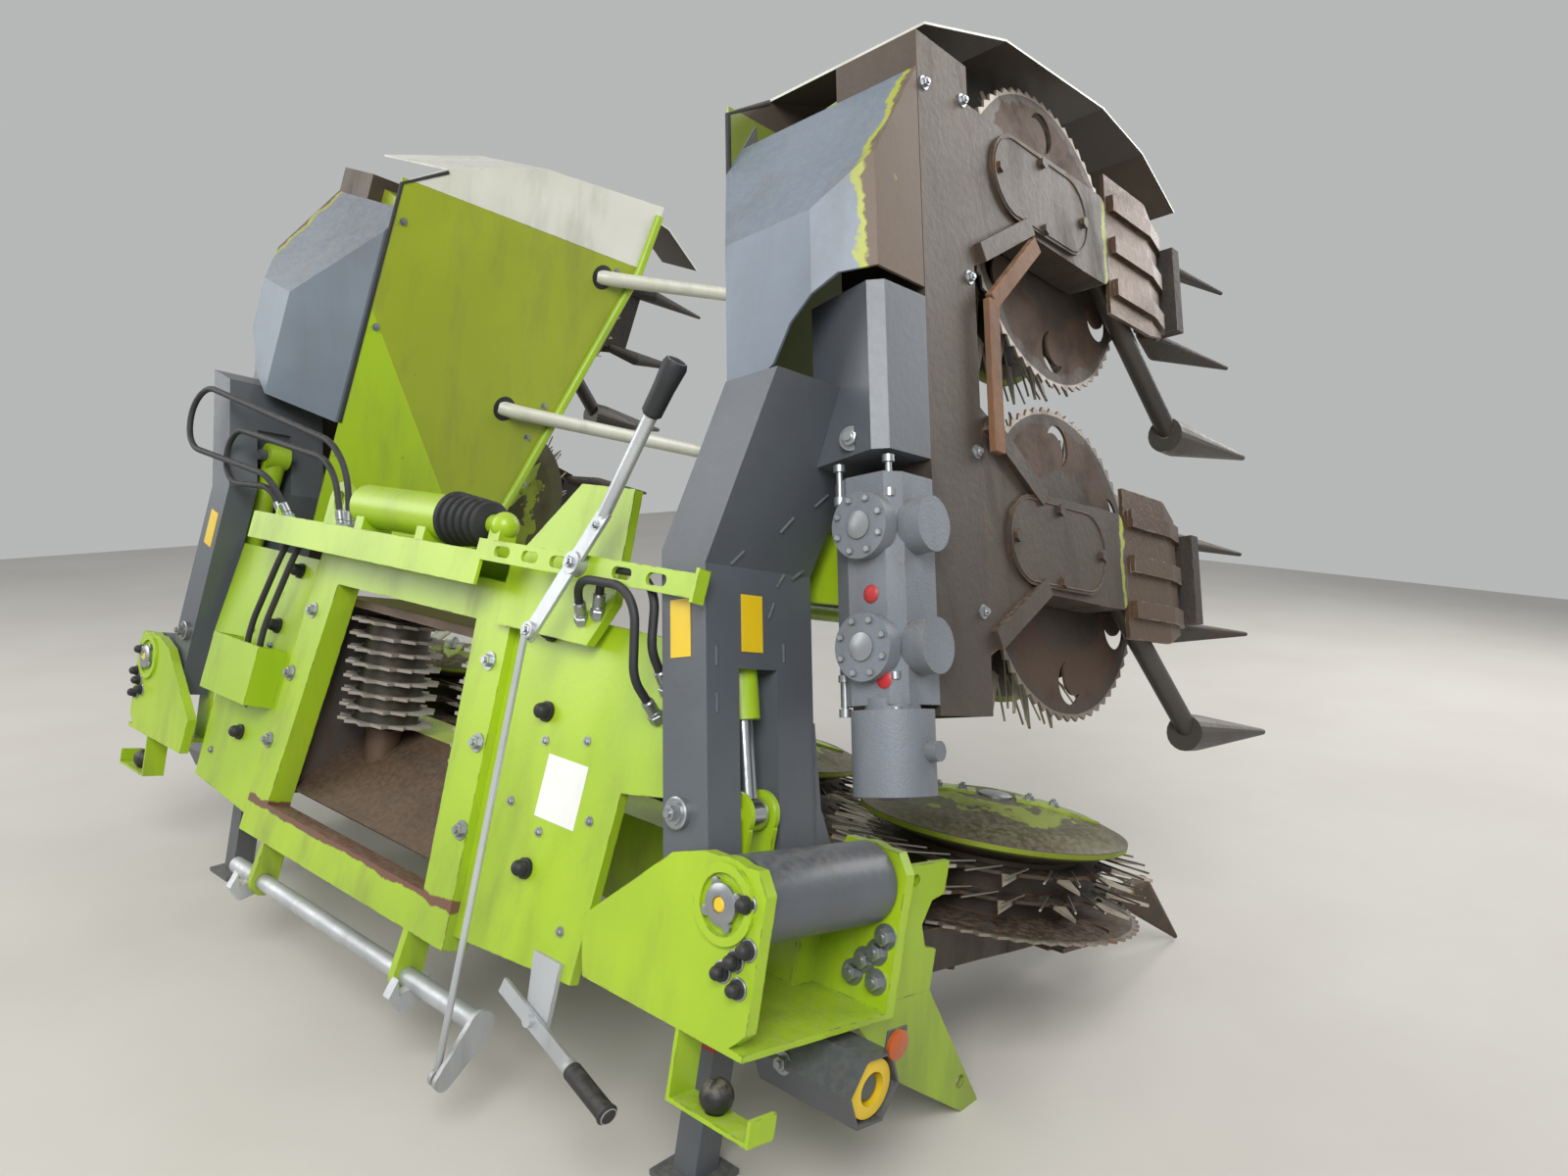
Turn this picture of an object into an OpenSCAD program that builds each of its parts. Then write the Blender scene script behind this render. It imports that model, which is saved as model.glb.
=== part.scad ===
/* [Parking] */
// Nose-down lean of the parked header in degrees
park_pitch = 11; // [8:0.5:13]
// Height of the rotor-arm underside over the floor, below the rotor axes
park_lift = 260; // [250:1:300]
// Shift that centres the parked header front to back
park_shift = -59.3; // [-120:0.2:60]
// Angle through which each wing is folded up from its working position
fold_angle = 103; // [95:0.5:104]

/* [Rotors] */
// Distance between neighbouring rotor axes
rotor_pitch = 750; // [746:1:800]
// Radius over the tips of the gathering tines
tine_tip_r = 362; // [345:1:364]
// Radius over the teeth of the knife disc
knife_r = 350; // [335:1:356]
// Number of saw teeth round one knife disc
knife_teeth = 60; // [48:4:72]
// Depth of one saw tooth
tooth_depth = 12; // [8:1:16]
// Thickness of the knife disc
knife_t = 6; // [4:0.5:8]
// Number of tines round one gathering ring
tine_count = 14; // [10:1:18]
// Thickness of a gathering ring
ring_t = 7; // [5:0.5:10]
// Radius of the gathering drum
drum_r = 200; // [180:1:215]

/* [Gear arms] */
// Width of a gear arm
arm_w = 250; // [220:2:270]
// Height of a gear arm
arm_h = 90; // [76:1:92]
// Distance from the rotor axis back to the root of the arm
arm_reach = 480; // [460:1:490]

/* [Main beam] */
// Depth of the main beam, front to back
beam_d = 170; // [140:2:200]
// Height of the main beam
beam_h = 190; // [150:2:200]
// Wall of the main beam
beam_wall = 12; // [8:1:16]

/* [Wing hinge] */
// Distance of the hinge axis from the middle of the header
hinge_x = 1235; // [1225:1:1245]
// Height of the hinge axis over the arm undersides
hinge_z = 215; // [205:1:225]
// Outer diameter of the hinge tube
hinge_tube_d = 150; // [130:2:160]
// Diameter of the hinge pin
hinge_pin_d = 60; // [50:1:70]
// Running clearance between the hinge tube and its pin
hinge_clear = 0.5; // [0.3:0.1:1]

/* [Feed opening] */
// Half width of the feed opening at its top
opening_top = 313; // [290:1:330]
// Half width of the feed opening at its bottom
opening_bottom = 372; // [340:1:390]
// Height of the feed opening
opening_h = 580; // [540:2:620]

/* [Intake drums] */
// Distance of an intake drum from the middle
drum_x = 262; // [255:1:270]
// Tip radius of the intake drum discs
intake_tip_r = 120; // [105:1:124]
// Number of toothed discs on an intake drum
intake_discs = 8; // [6:1:9]

/* [Dividers] */
// Reach of the divider tips in front of the rotor axes
tip_reach = 880; // [820:5:900]
// Half distance between the two points of a fork divider
fork_half = 110; // [90:2:125]

/* [Hidden] */
$fn = 48;

// Plate and fit values shared by the sub-parts
plate_t = 12;
sheet_t = 5;
seat_gap = 0.3;
moving_gap = 8;

// Rotor axes across the header
inner_x = rotor_pitch / 2;
outer_x = rotor_pitch * 3 / 2;
wing_x = rotor_pitch * 5 / 2;
tip_x = rotor_pitch * 7 / 2;
wing_inner_edge = rotor_pitch * 2 + 30;
wing_outer_edge = rotor_pitch * 4 - 200;

// Main beam places
beam_front = -arm_reach;
beam_back = beam_front - beam_d;
beam_half = hinge_x - hinge_tube_d / 2 - 20;

// Rotor levels over the arm underside
knife_z = arm_h + moving_gap;
ring_1_z = 150;
ring_2_z = 205;
rim_z = 262;
rim_r = 300;
dome_top = 322;

// Hinge tube and its lugs, front to back
tube_front = beam_back + 50;
tube_back = beam_back - 280;
lug_t = 25;
end_plate_t = 10;

// Fold cylinder: its ear on the hinge bracket and its pin in the wing carrier
fold_y = beam_back - 150;
slot_w = 100;
ear_x = hinge_x - 125;
ear_z = 320;
ear_t = 10;
ear_gap = 54;
wing_pin_x = 1930;
wing_pin_z = 352;
barrel_d = 64;
barrel_len = 400;
rod_d = 36;
carrier_bend = 1800;
carrier_end = 2110;
carrier_top = 395;

// Latch shaft, hand lever and parking stands
shaft_y = -34;
shaft_drop = 217;
shaft_d = 42;
lever_pivot = [728, -137, 696];
lever_up = 426;
lever_down = 161;
lever_angle = 62;
lever_crank = 44;
rod_foot = [610, -92, -323];
stand_x = 1020;
stand_y = beam_back - 50;
stand_z = -85;
spacer_x = hinge_x + 20;
spacer_y = -375;
pin_y = -206;
pin_z = -232;
guard_y = beam_back - 35;
guard_z = -92;
guard_len = 225;
wall_x = drum_x + 128;
rail_back = 147;
damper_y = -73;
damper_z = 757;
damper_end = 350;
frame_top = opening_h + 60;
rail_top = frame_top + 50;
panel_back = 40;
roof_z = 500;
roof_t = 20;
housing_t = 10;

// Height of the floor under the parked header, in the frame of the header itself
function floor_z(y) = (y * sin(park_pitch) - park_lift) / cos(park_pitch);

// Mounting frame
frame_y = beam_back - 240;
frame_t = 60;
frame_lean = 7;
frame_border_top = 120;
frame_border_bottom = 113;
frame_sill = 90;

// Whole-machine placement and handedness
module parked() translate([0, park_shift, park_lift]) rotate([-park_pitch, 0, 0]) children();
module on_side(side) if (side > 0) children(); else mirror([1, 0, 0]) children();
module folded(side)
    parked()
        on_side(side)
            translate([hinge_x, 0, hinge_z])
                rotate([0, -fold_angle, 0])
                    translate([-hinge_x, 0, -hinge_z])
                        children();

// Extrusion of a (Y, Z) outline along X, and of an (X, Z) outline along Y
module along_x(x, len) translate([x, 0, 0]) rotate([90, 0, 90]) linear_extrude(len) children();
module along_y(y, len) translate([0, y + len, 0]) rotate([90, 0, 0]) linear_extrude(len) children();
module box(a, b) translate(a) cube(b - a);

// Round bar between two points
module bar(p, q, d) {
    v = q - p;
    len = norm(v);
    translate(p)
        rotate([0, acos(v.z / len), atan2(v.y, v.x)])
            cylinder(h = len, d = d);
}

// Outline of a bent sheet of thickness t that follows the points
function seg_normal(p, q) = let (d = q - p) [-d.y, d.x] / norm(d);
function bend_normal(pts, i) =
    let (n1 = i > 0 ? seg_normal(pts[i - 1], pts[i]) : seg_normal(pts[0], pts[1]),
         n2 = i < len(pts) - 1 ? seg_normal(pts[i], pts[i + 1]) : n1,
         m = n1 + n2)
    m * 2 / (m * m);
function bent_sheet(pts, t) =
    concat(pts, [for (i = [len(pts) - 1:-1:0]) pts[i] + bend_normal(pts, i) * t]);

// Outline of a saw-toothed disc and of a ring of swept, pointed tines
function saw_outline(r, depth, n) =
    [for (i = [0:n - 1]) for (k = [0, 1])
        let (a = 360 * (i + k * 0.35) / n, rr = k == 0 ? r - depth : r) rr * [cos(a), sin(a)]];
function tine_outline(root_r, tip_r, n, width, sweep) =
    [for (i = [0:n - 1]) for (k = [0:2])
        let (a = 360 * i / n + [0, sweep + width * 0.8, width][k], rr = k == 1 ? tip_r : root_r)
        rr * [cos(a), sin(a)]];

// One gathering rotor: knife disc, drum, two tine rings, rim and dome on one hub
module rotor() {
    translate([0, 0, arm_h + seat_gap]) cylinder(h = knife_z - arm_h, r = 70);
    knife_disc();
    translate([0, 0, knife_z + knife_t - 1]) cylinder(h = rim_z - knife_z, r = drum_r, $fn = 72);
    for (z = [ring_1_z, ring_2_z]) gathering_ring(z);
    translate([0, 0, rim_z]) rotate_extrude($fn = 72)
        polygon([[0, -40], [drum_r, -40], [rim_r - 12, -6], [rim_r, 0], [rim_r, 12],
                 [rim_r - 60, 34], [110, dome_top - rim_z], [0, dome_top - rim_z]]);
}
module knife_disc()
    translate([0, 0, knife_z]) linear_extrude(knife_t) difference() {
        polygon(saw_outline(knife_r, tooth_depth, knife_teeth));
        for (a = [0:60:300]) rotate(a) knife_window();
    }
module knife_window()
    difference() {
        translate([265, 0]) circle(r = 48, $fn = 40);
        translate([248, -22]) circle(r = 44, $fn = 40);
    }
module gathering_ring(z)
    translate([0, 0, z]) linear_extrude(ring_t) union() {
        circle(r = drum_r + 55, $fn = 72);
        polygon(tine_outline(drum_r + 50, tine_tip_r, tine_count, 9, -9));
    }

// Oval lid below a gear arm
lid_y = -205;
lid_long = 400;
lid_wide = 180;
lid_t = 8;
flare_t = 36;

arm_nose = 105;

// One gear arm: flat cast box from the beam to the rotor, with an oval lid below. The table that
// places the arms gives each one's X and whether its root flares to the left and to the right.
module arm_outline(extra)
    union() {
        polygon([[-arm_w / 2 + 30, -arm_reach], [arm_w / 2 - 30, -arm_reach], [arm_w / 2 - 18 + extra, 0],
                 [-arm_w / 2 + 18 - extra, 0]]);
        translate([-arm_w / 2 + 18 - extra, -30]) square([arm_w - 36 + 2 * extra, arm_nose]);
        translate([-arm_w / 2 + 48, -30]) square([arm_w - 96, arm_nose + 30 + extra]);
        for (s = [-1, 1]) translate([s * (arm_w / 2 - 48), arm_nose - 30]) circle(r = 30 + extra);
    }
module gear_arm(flares = [1, 1]) {
    difference() {
        union() {
            linear_extrude(arm_h) arm_outline(0);
            translate([0, lid_y, -lid_t]) linear_extrude(lid_t + 0.5) oval(lid_long, lid_wide);
            for (s = [-1, 1]) if (flares[(s + 1) / 2] > 0) linear_extrude(flare_t) arm_flare(s);
        }
        translate([0, 0, arm_h - 20]) cylinder(h = 30, r = 30);
    }
    for (p = [[0, 24 - lid_long / 2], [0, lid_long / 2 - 24], [16 - lid_wide / 2, 0],
              [lid_wide / 2 - 16, 0]])
        translate([p.x, p.y + lid_y, -lid_t - 9]) cylinder(h = 9.5, d = 26, $fn = 6);
    for (s = [-1, 1]) if (flares[(s + 1) / 2] > 0) wear_bar(flare_edge(s), s);
}
flare_w = 110;
flare_len = 220;
wear_bar_w = 38;
function flare_edge(s) =
    [[s * (arm_w / 2 + flare_w - 12), -arm_reach + 24], [s * (arm_w / 2 - 20), -arm_reach + flare_len]];
module arm_flare(s)
    polygon([[0, -arm_reach], [s * (arm_w / 2 + flare_w), -arm_reach], flare_edge(s)[0], flare_edge(s)[1],
             [0, -arm_reach + flare_len]]);
module wear_bar(edge, s)
    translate([0, 0, -14]) linear_extrude(14.5) polygon(bent_sheet(edge, s * wear_bar_w));
module oval(long, wide)
    union() {
        square([wide, long - wide], center = true);
        for (s = [-1, 1]) translate([0, s * (long - wide) / 2]) circle(d = wide);
    }

// Wear shoe under the knife disc, in front of a gear arm, with three ribs
shoe_w = 340;
shoe_tip_w = 250;
shoe_back = arm_nose + seat_gap;
shoe_front = 480;
module skid_shoe() {
    intersection() {
        along_x(-shoe_w / 2, shoe_w) polygon(shoe_profile());
        translate([0, 0, -shoe_w / 2]) linear_extrude(shoe_w) shoe_plan();
    }
    for (s = [-1, 0, 1]) along_x(s * (shoe_tip_w / 2 - 22) - 20, 40) polygon(rib_profile());
}
module shoe_plan()
    polygon([[-shoe_w / 2, shoe_back - 1], [shoe_w / 2, shoe_back - 1], [shoe_w / 2, shoe_back + 210],
             [shoe_tip_w / 2, shoe_front + 10], [-shoe_tip_w / 2, shoe_front + 10],
             [-shoe_w / 2, shoe_back + 210]]);
shoe_t = 10;
shoe_line = [[shoe_back, 0], [shoe_back + 220, 0], [shoe_front - 50, 22], [shoe_front, 50]];
function shoe_profile() = bent_sheet(shoe_line, shoe_t);
function under_shoe_top() =
    concat([for (i = [0:len(shoe_line) - 1])
                shoe_line[i] + bend_normal(shoe_line, i) * (shoe_t + seat_gap)],
           [[shoe_front + 1, 62], [shoe_front + 1, -100], [shoe_back, -100]]);
function rib_profile() =
    bent_sheet([[shoe_back + 20, -12], [shoe_back + 220, -12], [shoe_front - 55, 9],
                [shoe_front - 20, 25]], 12.5);

// Two-pointed fork divider whose foot stands on the front of a wear shoe
fork_z = 70;
module fork(tip_z)
    difference() {
        union() {
            for (s = [-1, 1]) fork_point(s, tip_z);
            box([-fork_half, shoe_front - 60, 0], [fork_half, shoe_front + 40, fork_z + 20]);
        }
        along_x(-shoe_w / 2, shoe_w) polygon(under_shoe_top());
    }
module fork_point(s, tip_z)
    hull() {
        translate([s * fork_half, shoe_front - 30, fork_z + 9]) sphere(d = 34, $fn = 16);
        translate([s * fork_half + s * 14, shoe_front + 90, fork_z + 30]) sphere(d = 44, $fn = 16);
        translate([s * fork_half, tip_reach, tip_z]) sphere(d = 12, $fn = 12);
    }

// Tube strut with a pointed nose between two rotors
nose_root = 480;
module nose(tip_z)
    hull() {
        translate([0, nose_root, 50]) rotate([-90, 0, 0]) cylinder(h = 60, d = 90, $fn = 20);
        translate([0, tip_reach - 10, tip_z]) sphere(d = 16, $fn = 12);
        translate([0, tip_reach - 220, 90 + tip_z / 2]) sphere(d = 30, $fn = 12);
    }
module nose_strut(arm_x)
    difference() {
        bar([arm_x, 45, 45], [0, nose_root + 30, 50], 50);
        translate([arm_x, 0, -10]) linear_extrude(arm_h + 20) arm_outline(seat_gap);
    }

// Root sub-parts
module centre_beam()
    color("#5c5048") parked() {
        difference() {
            box([-beam_half, beam_back, 0], [beam_half, beam_front, beam_h]);
            box([-beam_half - 1, beam_back + beam_wall, beam_wall],
                [beam_half + 1, beam_front - beam_wall, beam_h - beam_wall]);
        }
    }
module hinge_brackets()
    color("#9ab01e") parked() for (s = [-1, 1]) on_side(s) hinge_bracket();
module hinge_bracket() {
    translate([0, tube_back - moving_gap - lug_t, 0]) along_y(0, lug_t) rear_bearing();
    translate([0, tube_front + moving_gap, 0]) along_y(0, lug_t) front_bearing();
    for (y = [tube_back - moving_gap - lug_t - 7, tube_front + moving_gap + lug_t - 1])
        translate([hinge_x, y + 8, hinge_z]) rotate([90, 0, 0]) difference() {
            cylinder(h = 8, r = 66);
            translate([0, 0, -1]) cylinder(h = 10, r = 50);
        }
    box([ear_x - 45, tube_back - moving_gap - lug_t, -plate_t],
        [hinge_x + 85, tube_front + moving_gap + lug_t, 0]);
    box([beam_half + seat_gap, beam_back, -1], [beam_half + seat_gap + end_plate_t, beam_front, beam_h]);
    translate([hinge_x, tube_front + moving_gap + lug_t + 4, hinge_z]) rotate([90, 0, 0])
        cylinder(h = tube_front - tube_back + 2 * moving_gap + 2 * lug_t + 8, d = hinge_pin_d);
    for (s = [-1, 1]) ear_plate(s);
    spacer_carrier();
}
module rear_bearing()
    union() {
        polygon([[hinge_x - 341, 89], [hinge_x - 135, 262], [hinge_x - 60, 285], [hinge_x + 60, 285],
                 [hinge_x + 85, 250], [hinge_x + 85, 30], [hinge_x + 40, -plate_t],
                 [hinge_x - 315, -plate_t]]);
        translate([hinge_x, hinge_z]) circle(d = hinge_tube_d);
    }
module front_bearing()
    union() {
        polygon([[beam_half + seat_gap + 1, -plate_t], [hinge_x + 85, -plate_t], [hinge_x + 85, 250],
                 [hinge_x + 60, 285], [hinge_x - 60, 285], [beam_half + seat_gap + 1, beam_h]]);
        translate([hinge_x, hinge_z]) circle(d = hinge_tube_d);
    }
module spacer_carrier()
    difference() {
        along_x(spacer_x, plate_t)
            polygon([[tube_front + moving_gap + lug_t - 1, -plate_t], [spacer_y, -plate_t], [spacer_y, 70],
                     [spacer_y - 40, 80], [spacer_y - 62, 125], [spacer_y - 40, 170], [spacer_y, 180],
                     [spacer_y, 245], [tube_front + moving_gap + lug_t - 1, 245]]);
        translate([spacer_x - 1, spacer_y - 105, 215]) rotate([0, 90, 0]) cylinder(h = plate_t + 2, d = 24);
    }
module ear_plate(s)
    translate([0, fold_y + s * (ear_gap + ear_t) / 2, 0]) {
        along_y(-ear_t / 2, ear_t) union() {
            polygon([[ear_x - 40, -1], [ear_x + 32, -1], [ear_x + 40, ear_z - 20], [ear_x + 20, ear_z + 36],
                     [ear_x - 24, ear_z + 36], [ear_x - 44, ear_z]]);
            translate([ear_x, ear_z]) circle(r = 42);
        }
        translate([ear_x, s > 0 ? ear_t / 2 + 8 : -ear_t / 2, ear_z]) rotate([90, 0, 0])
            cylinder(h = 8, d = 40);
    }
module leaned() parked() translate([0, frame_y, 0]) rotate([-frame_lean, 0, 0]) children();
module mounting_frame()
    color("#a8c41f") leaned() {
        along_y(-frame_t, frame_t) difference() {
            frame_outline(frame_border_top, frame_border_bottom, 90, frame_sill);
            frame_outline(0, 0, 0, 0);
        }
        for (x = [-345, 345]) shaft_lug(x);
        along_y(-frame_t - 20, 21) polygon(tower_profile());
    }
tower_top = frame_top + 225;
function tower_profile() =
    [[opening_top + 100, frame_top - 90], [720, frame_top - 90], [770, frame_top], [750, tower_top],
     [585, tower_top], [opening_top + 100, frame_top + 40]];
module frame_outline(top, bottom, over, under)
    translate([0, -30]) polygon([[-opening_bottom - bottom, -under], [opening_bottom + bottom, -under],
        [opening_top + top, opening_h + over], [-opening_top - top, opening_h + over]]);
module shaft_lug(x)
    difference() {
        along_x(x - 10, 20) union() {
            polygon([[-frame_t, -119], [0, -119], [shaft_y + 34, -shaft_drop],
                     [shaft_y - 34, -shaft_drop]]);
            translate([shaft_y, -shaft_drop]) circle(r = 34);
        }
        translate([x - 20, shaft_y, -shaft_drop]) rotate([0, 90, 0]) cylinder(h = 40, d = shaft_d + 1);
    }
module rear_panels()
    color("#a3bd22") leaned() for (s = [-1, 1]) on_side(s)
        along_y(-panel_back, 20)
            polygon([[frame_edge(-90) + seat_gap, -90], [860, -60], [872, 300], [985, 320], [940, 600],
                     [frame_edge(600) + seat_gap, 600]]);
function frame_edge(z) =
    let (low = opening_bottom + frame_border_bottom, high = opening_top + frame_border_top,
         z0 = -30 - frame_sill, z1 = opening_h + 60)
    low + (high - low) * (z - z0) / (z1 - z0);
module stand_lugs()
    color("#4a4d50") parked()
        for (s = [-1, 1], x = [stand_x - 45, stand_x + 33]) on_side(s) difference() {
            along_x(x, 12) polygon([[stand_y - 40, stand_z - 40], [stand_y + 40, stand_z - 40],
                                    [beam_front - 80, -seat_gap], [stand_y - 40, -seat_gap]]);
            translate([x - 5, stand_y, stand_z]) rotate([0, 90, 0]) cylinder(h = 22, d = 31);
        }
module top_rail()
    color("#a8c41f") leaned() {
        along_x(-690, 1090) polygon([[-rail_back, frame_top - 22], [-rail_back + 8, frame_top - 22],
            [-rail_back + 8, rail_top - 8], [-8, rail_top - 8], [-8, frame_top + seat_gap],
            [0, frame_top + seat_gap], [0, rail_top], [-rail_back, rail_top]]);
        difference() {
            box([380, -rail_back, frame_top + 32], [1060, -rail_back + 8, frame_top + 76]);
            for (x = [470:95:1000]) if (abs(x - lever_pivot.x) > 45)
                translate([x, -rail_back + 10, frame_top + 54]) rotate([90, 0, 0]) linear_extrude(12)
                    oval_slot(54, 22);
        }
        box([1060, -rail_back - 20, frame_top + 24], [1068, -rail_back + 8, frame_top + 84]);
        translate([-660, -rail_back + 60, rail_top - 1]) cylinder(h = 26, d = 30);
    }
module oval_slot(long, wide)
    union() {
        square([long - wide, wide], center = true);
        for (s = [-1, 1]) translate([s * (long - wide) / 2, 0]) circle(d = wide, $fn = 20);
    }
module frame_damper()
    color("#a3bd22") leaned() {
        bar([-238, damper_y, damper_z], [150, damper_y, damper_z], 104);
        bar([-262, damper_y, damper_z], [-230, damper_y, damper_z], 70);
        for (i = [0:4]) bar([150 + i * 24, damper_y, damper_z], [166 + i * 24, damper_y, damper_z], 76);
        bar([149, damper_y, damper_z], [damper_end, damper_y, damper_z], 44);
        translate([damper_end, damper_y, damper_z]) sphere(d = 62, $fn = 24);
        for (x = [-190, 90])
            box([x - 18, damper_y - 40, rail_top + seat_gap], [x + 18, damper_y + 40, damper_z - 30]);
        box([damper_end - 20, damper_y - 22, rail_top + seat_gap],
            [damper_end + 20, damper_y + 22, damper_z]);
    }
module feed_housing()
    color("#6b5547") parked() {
        along_x(-wall_x + seat_gap, 2 * (wall_x - seat_gap))
            polygon(bent_sheet([[frame_y + 4, 14], [beam_back - seat_gap - 6, beam_h + 4]], -8));
        for (s = [-1, 1]) translate([s * drum_x, intake_y, beam_h - 90]) cylinder(h = 96, r = 44);
        along_x(-wall_x - 30, 2 * wall_x + 60)
            polygon([[frame_front(roof_z) + 1, roof_z + seat_gap], [beam_back + 30, roof_z + seat_gap],
                     [beam_back + 30, roof_z + roof_t],
                     [frame_front(roof_z + roof_t) + 1, roof_z + roof_t]]);
    }
function frame_front(z) = frame_y + z * tan(frame_lean);
module stripper_combs()
    color("#77736c") parked() for (s = [-1, 1]) on_side(s) {
        along_x(wall_x, housing_t)
            polygon([[frame_front(0) + 1, 0], [beam_back - seat_gap, 0], [beam_back - seat_gap, roof_z],
                     [frame_front(roof_z) + 1, roof_z]]);
        for (i = [0:intake_discs - 2])
            box([drum_x + 80 + moving_gap, intake_y - 30, disc_level(i) + disc_step / 2 - 1],
                [wall_x + 1, intake_y + 30, disc_level(i) + disc_step / 2 + 9]);
    }
module centre_gear_arms()
    color("#5f5750") parked()
        for (arm = [[-outer_x, [0, 1]], [-inner_x, [1, 1]], [inner_x, [1, 1]], [outer_x, [1, 0]]])
            translate([arm[0], 0, 0]) gear_arm(arm[1]);
module centre_skids()
    color("#7d6656") parked() for (x = [-outer_x, -inner_x, inner_x, outer_x])
        translate([x, 0, 0]) skid_shoe();
module centre_forks()
    color("#3a3c3f") parked() for (x = [-outer_x, -inner_x, inner_x, outer_x])
        translate([x, 0, 0]) fork(floor_z(tip_reach) + 12);
module centre_noses()
    color("#9ab01e") parked() for (x = [-rotor_pitch, 0, rotor_pitch]) translate([x, 0, 0]) {
        nose(floor_z(tip_reach - 10) + 8 / cos(park_pitch));
        nose_strut(x == 0 ? inner_x : -sign(x) * inner_x);
    }
module centre_guides()
    color("#c9cbb8") parked() for (s = [-1, 1]) on_side(s)
        difference() {
            bar([700, beam_back + 40, beam_h - 20], [700, -300, 420], 30);
            box([600, beam_back, 0], [800, beam_front, beam_h + seat_gap]);
        }
module front_stands()
    color("#a3bd22") parked() for (s = [-1, 1]) on_side(s) {
        difference() {
            along_x(spacer_x, plate_t)
                polygon([[beam_back + 20, -plate_t - seat_gap], [spacer_y, -plate_t - seat_gap],
                         [-125, floor_z(-125)], [-185, floor_z(-185)], [-440, -180]]);
            translate([spacer_x - 1, pin_y, pin_z]) rotate([0, 90, 0]) cylinder(h = plate_t + 2, d = 28);
        }
        along_x(spacer_x - 24, 25)
            polygon([[-160, floor_z(-160)], [-185, floor_z(-185)], [-365, -140], [-352, -122]]);
    }
module drive_inputs()
    color("#3f4247") parked() for (s = [-1, 1]) on_side(s) {
        translate([beam_half + 20, guard_y, guard_z]) rotate([0, 90, 0]) difference() {
            rotate(30) cylinder(h = guard_len, r = 70, $fn = 6);
            translate([0, 0, guard_len - 60]) rotate(30) cylinder(h = 61, r = 64, $fn = 6);
        }
        translate([beam_half + 15, guard_y, guard_z]) rotate([0, 90, 0])
            cylinder(h = guard_len - 10, d = 44);
        box([beam_half + 60, guard_y - 40, guard_z + 50],
            [beam_half + 76, guard_y + 40, -plate_t - seat_gap]);
    }

// Folding catches: an angle under each hinge bracket that holds a rubber ball
catch_y = tube_back;
catch_low = -134;
ball_d = 58;
module ball_catches()
    color("#a8c41f") parked() for (s = [-1, 1]) on_side(s) {
        along_y(catch_y - 30, 60)
            polygon(bent_sheet([[hinge_x - 70, -plate_t - seat_gap], [hinge_x - 70, catch_low],
                                [hinge_x + 120, catch_low], [hinge_x + 120, catch_low + 44]], 8));
        translate([hinge_x + 15, catch_y, catch_low + 8 + ball_d / 2 - 2]) sphere(d = ball_d, $fn = 32);
    }

// Galvanised hand lever on its lug under the right rear panel
release_pivot = [800, -145];
release_tilt = 16;
release_len = 262;
module release_lever()
    color("#b9bcc0") leaned() {
        along_y(-50, 9.7) polygon([[750, -30], [832, -30], [836, -160], [772, -150]]);
        translate([release_pivot.x, -56, release_pivot.y]) rotate([0, release_tilt, 0]) {
            box([-110, -4, -15], [release_len - 112, 4, 15]);
            bar([release_len - 132, 0, 0], [release_len, 0, 0], 32);
        }
        translate([release_pivot.x, -40.3, release_pivot.y]) rotate([90, 0, 0]) cylinder(h = 30, d = 24);
    }

// Valve box on the left rear panel and the lifting eye on the channel
tray_low = [-800, -118, 190];
tray_high = [-520, -panel_back - seat_gap, 345];
tray_wall = 8;
eye_x = -420;
eye_z = frame_top + 120;
eye_r = 52;
module valve_box()
    color("#a8c41f") leaned() {
        difference() {
            box(tray_low, tray_high);
            box(tray_low + [1, 1, 1] * tray_wall, [tray_high.x - tray_wall, 0, tray_high.z + 1]);
        }
        along_y(-60, 20) difference() {
            union() {
                translate([eye_x, eye_z]) circle(r = eye_r);
                polygon([[eye_x - eye_r, rail_top + seat_gap], [eye_x + eye_r, rail_top + seat_gap],
                         [eye_x + eye_r, eye_z], [eye_x - eye_r, eye_z]]);
            }
            translate([eye_x, eye_z]) circle(d = eye_r);
        }
    }

// Intake drums
intake_y = beam_back - 75;
intake_low = beam_h + 16;
intake_high = 480;
disc_step = (intake_high - intake_low - 18) / (intake_discs - 1);
function disc_level(i) = intake_low + 5 + i * disc_step;
module intake_drum(side)
    color("#8f8a80") parked() on_side(side) translate([drum_x, intake_y, 0]) {
        translate([0, 0, beam_h + 6 + seat_gap]) cylinder(h = roof_z - beam_h - 6 - seat_gap, r = 30);
        translate([0, 0, intake_low]) cylinder(h = intake_high - intake_low, r = 80);
        for (i = [0:intake_discs - 1])
            translate([0, 0, disc_level(i)]) linear_extrude(8) polygon(saw_outline(intake_tip_r, 22, 14));
    }
module intake_drum_right() intake_drum(1);
module intake_drum_left() intake_drum(-1);

// Latch: hand lever, rod and hook shaft
rod_head = lever_pivot + [-lever_down * cos(lever_angle), -rail_back - 21 - lever_pivot.y,
                          -lever_down * sin(lever_angle)];
shaft_arm_x = 625;
foot_gap = 0.9;
hook_profile = [[25, 20], [25, -30], [-30, -60], [-62, -30], [-50, 10], [-38, -25]];
module latch_lever()
    color("#b9bcc0") leaned() translate([lever_pivot.x, -rail_back - seat_gap, lever_pivot.z]) {
        rotate([90, 0, 0]) cylinder(h = 24, d = 44);
        rotate([0, -lever_angle, 0]) {
            box([-lever_down - 16, -20, -17], [120, -12, 17]);
            bar([110, -16, 0], [lever_up, -16 - lever_crank, 0], 26);
            bar([lever_up - 100, -16 - lever_crank * 0.69, 0],
                [lever_up + 4, -16 - lever_crank * 1.01, 0], 36);
        }
    }
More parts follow.
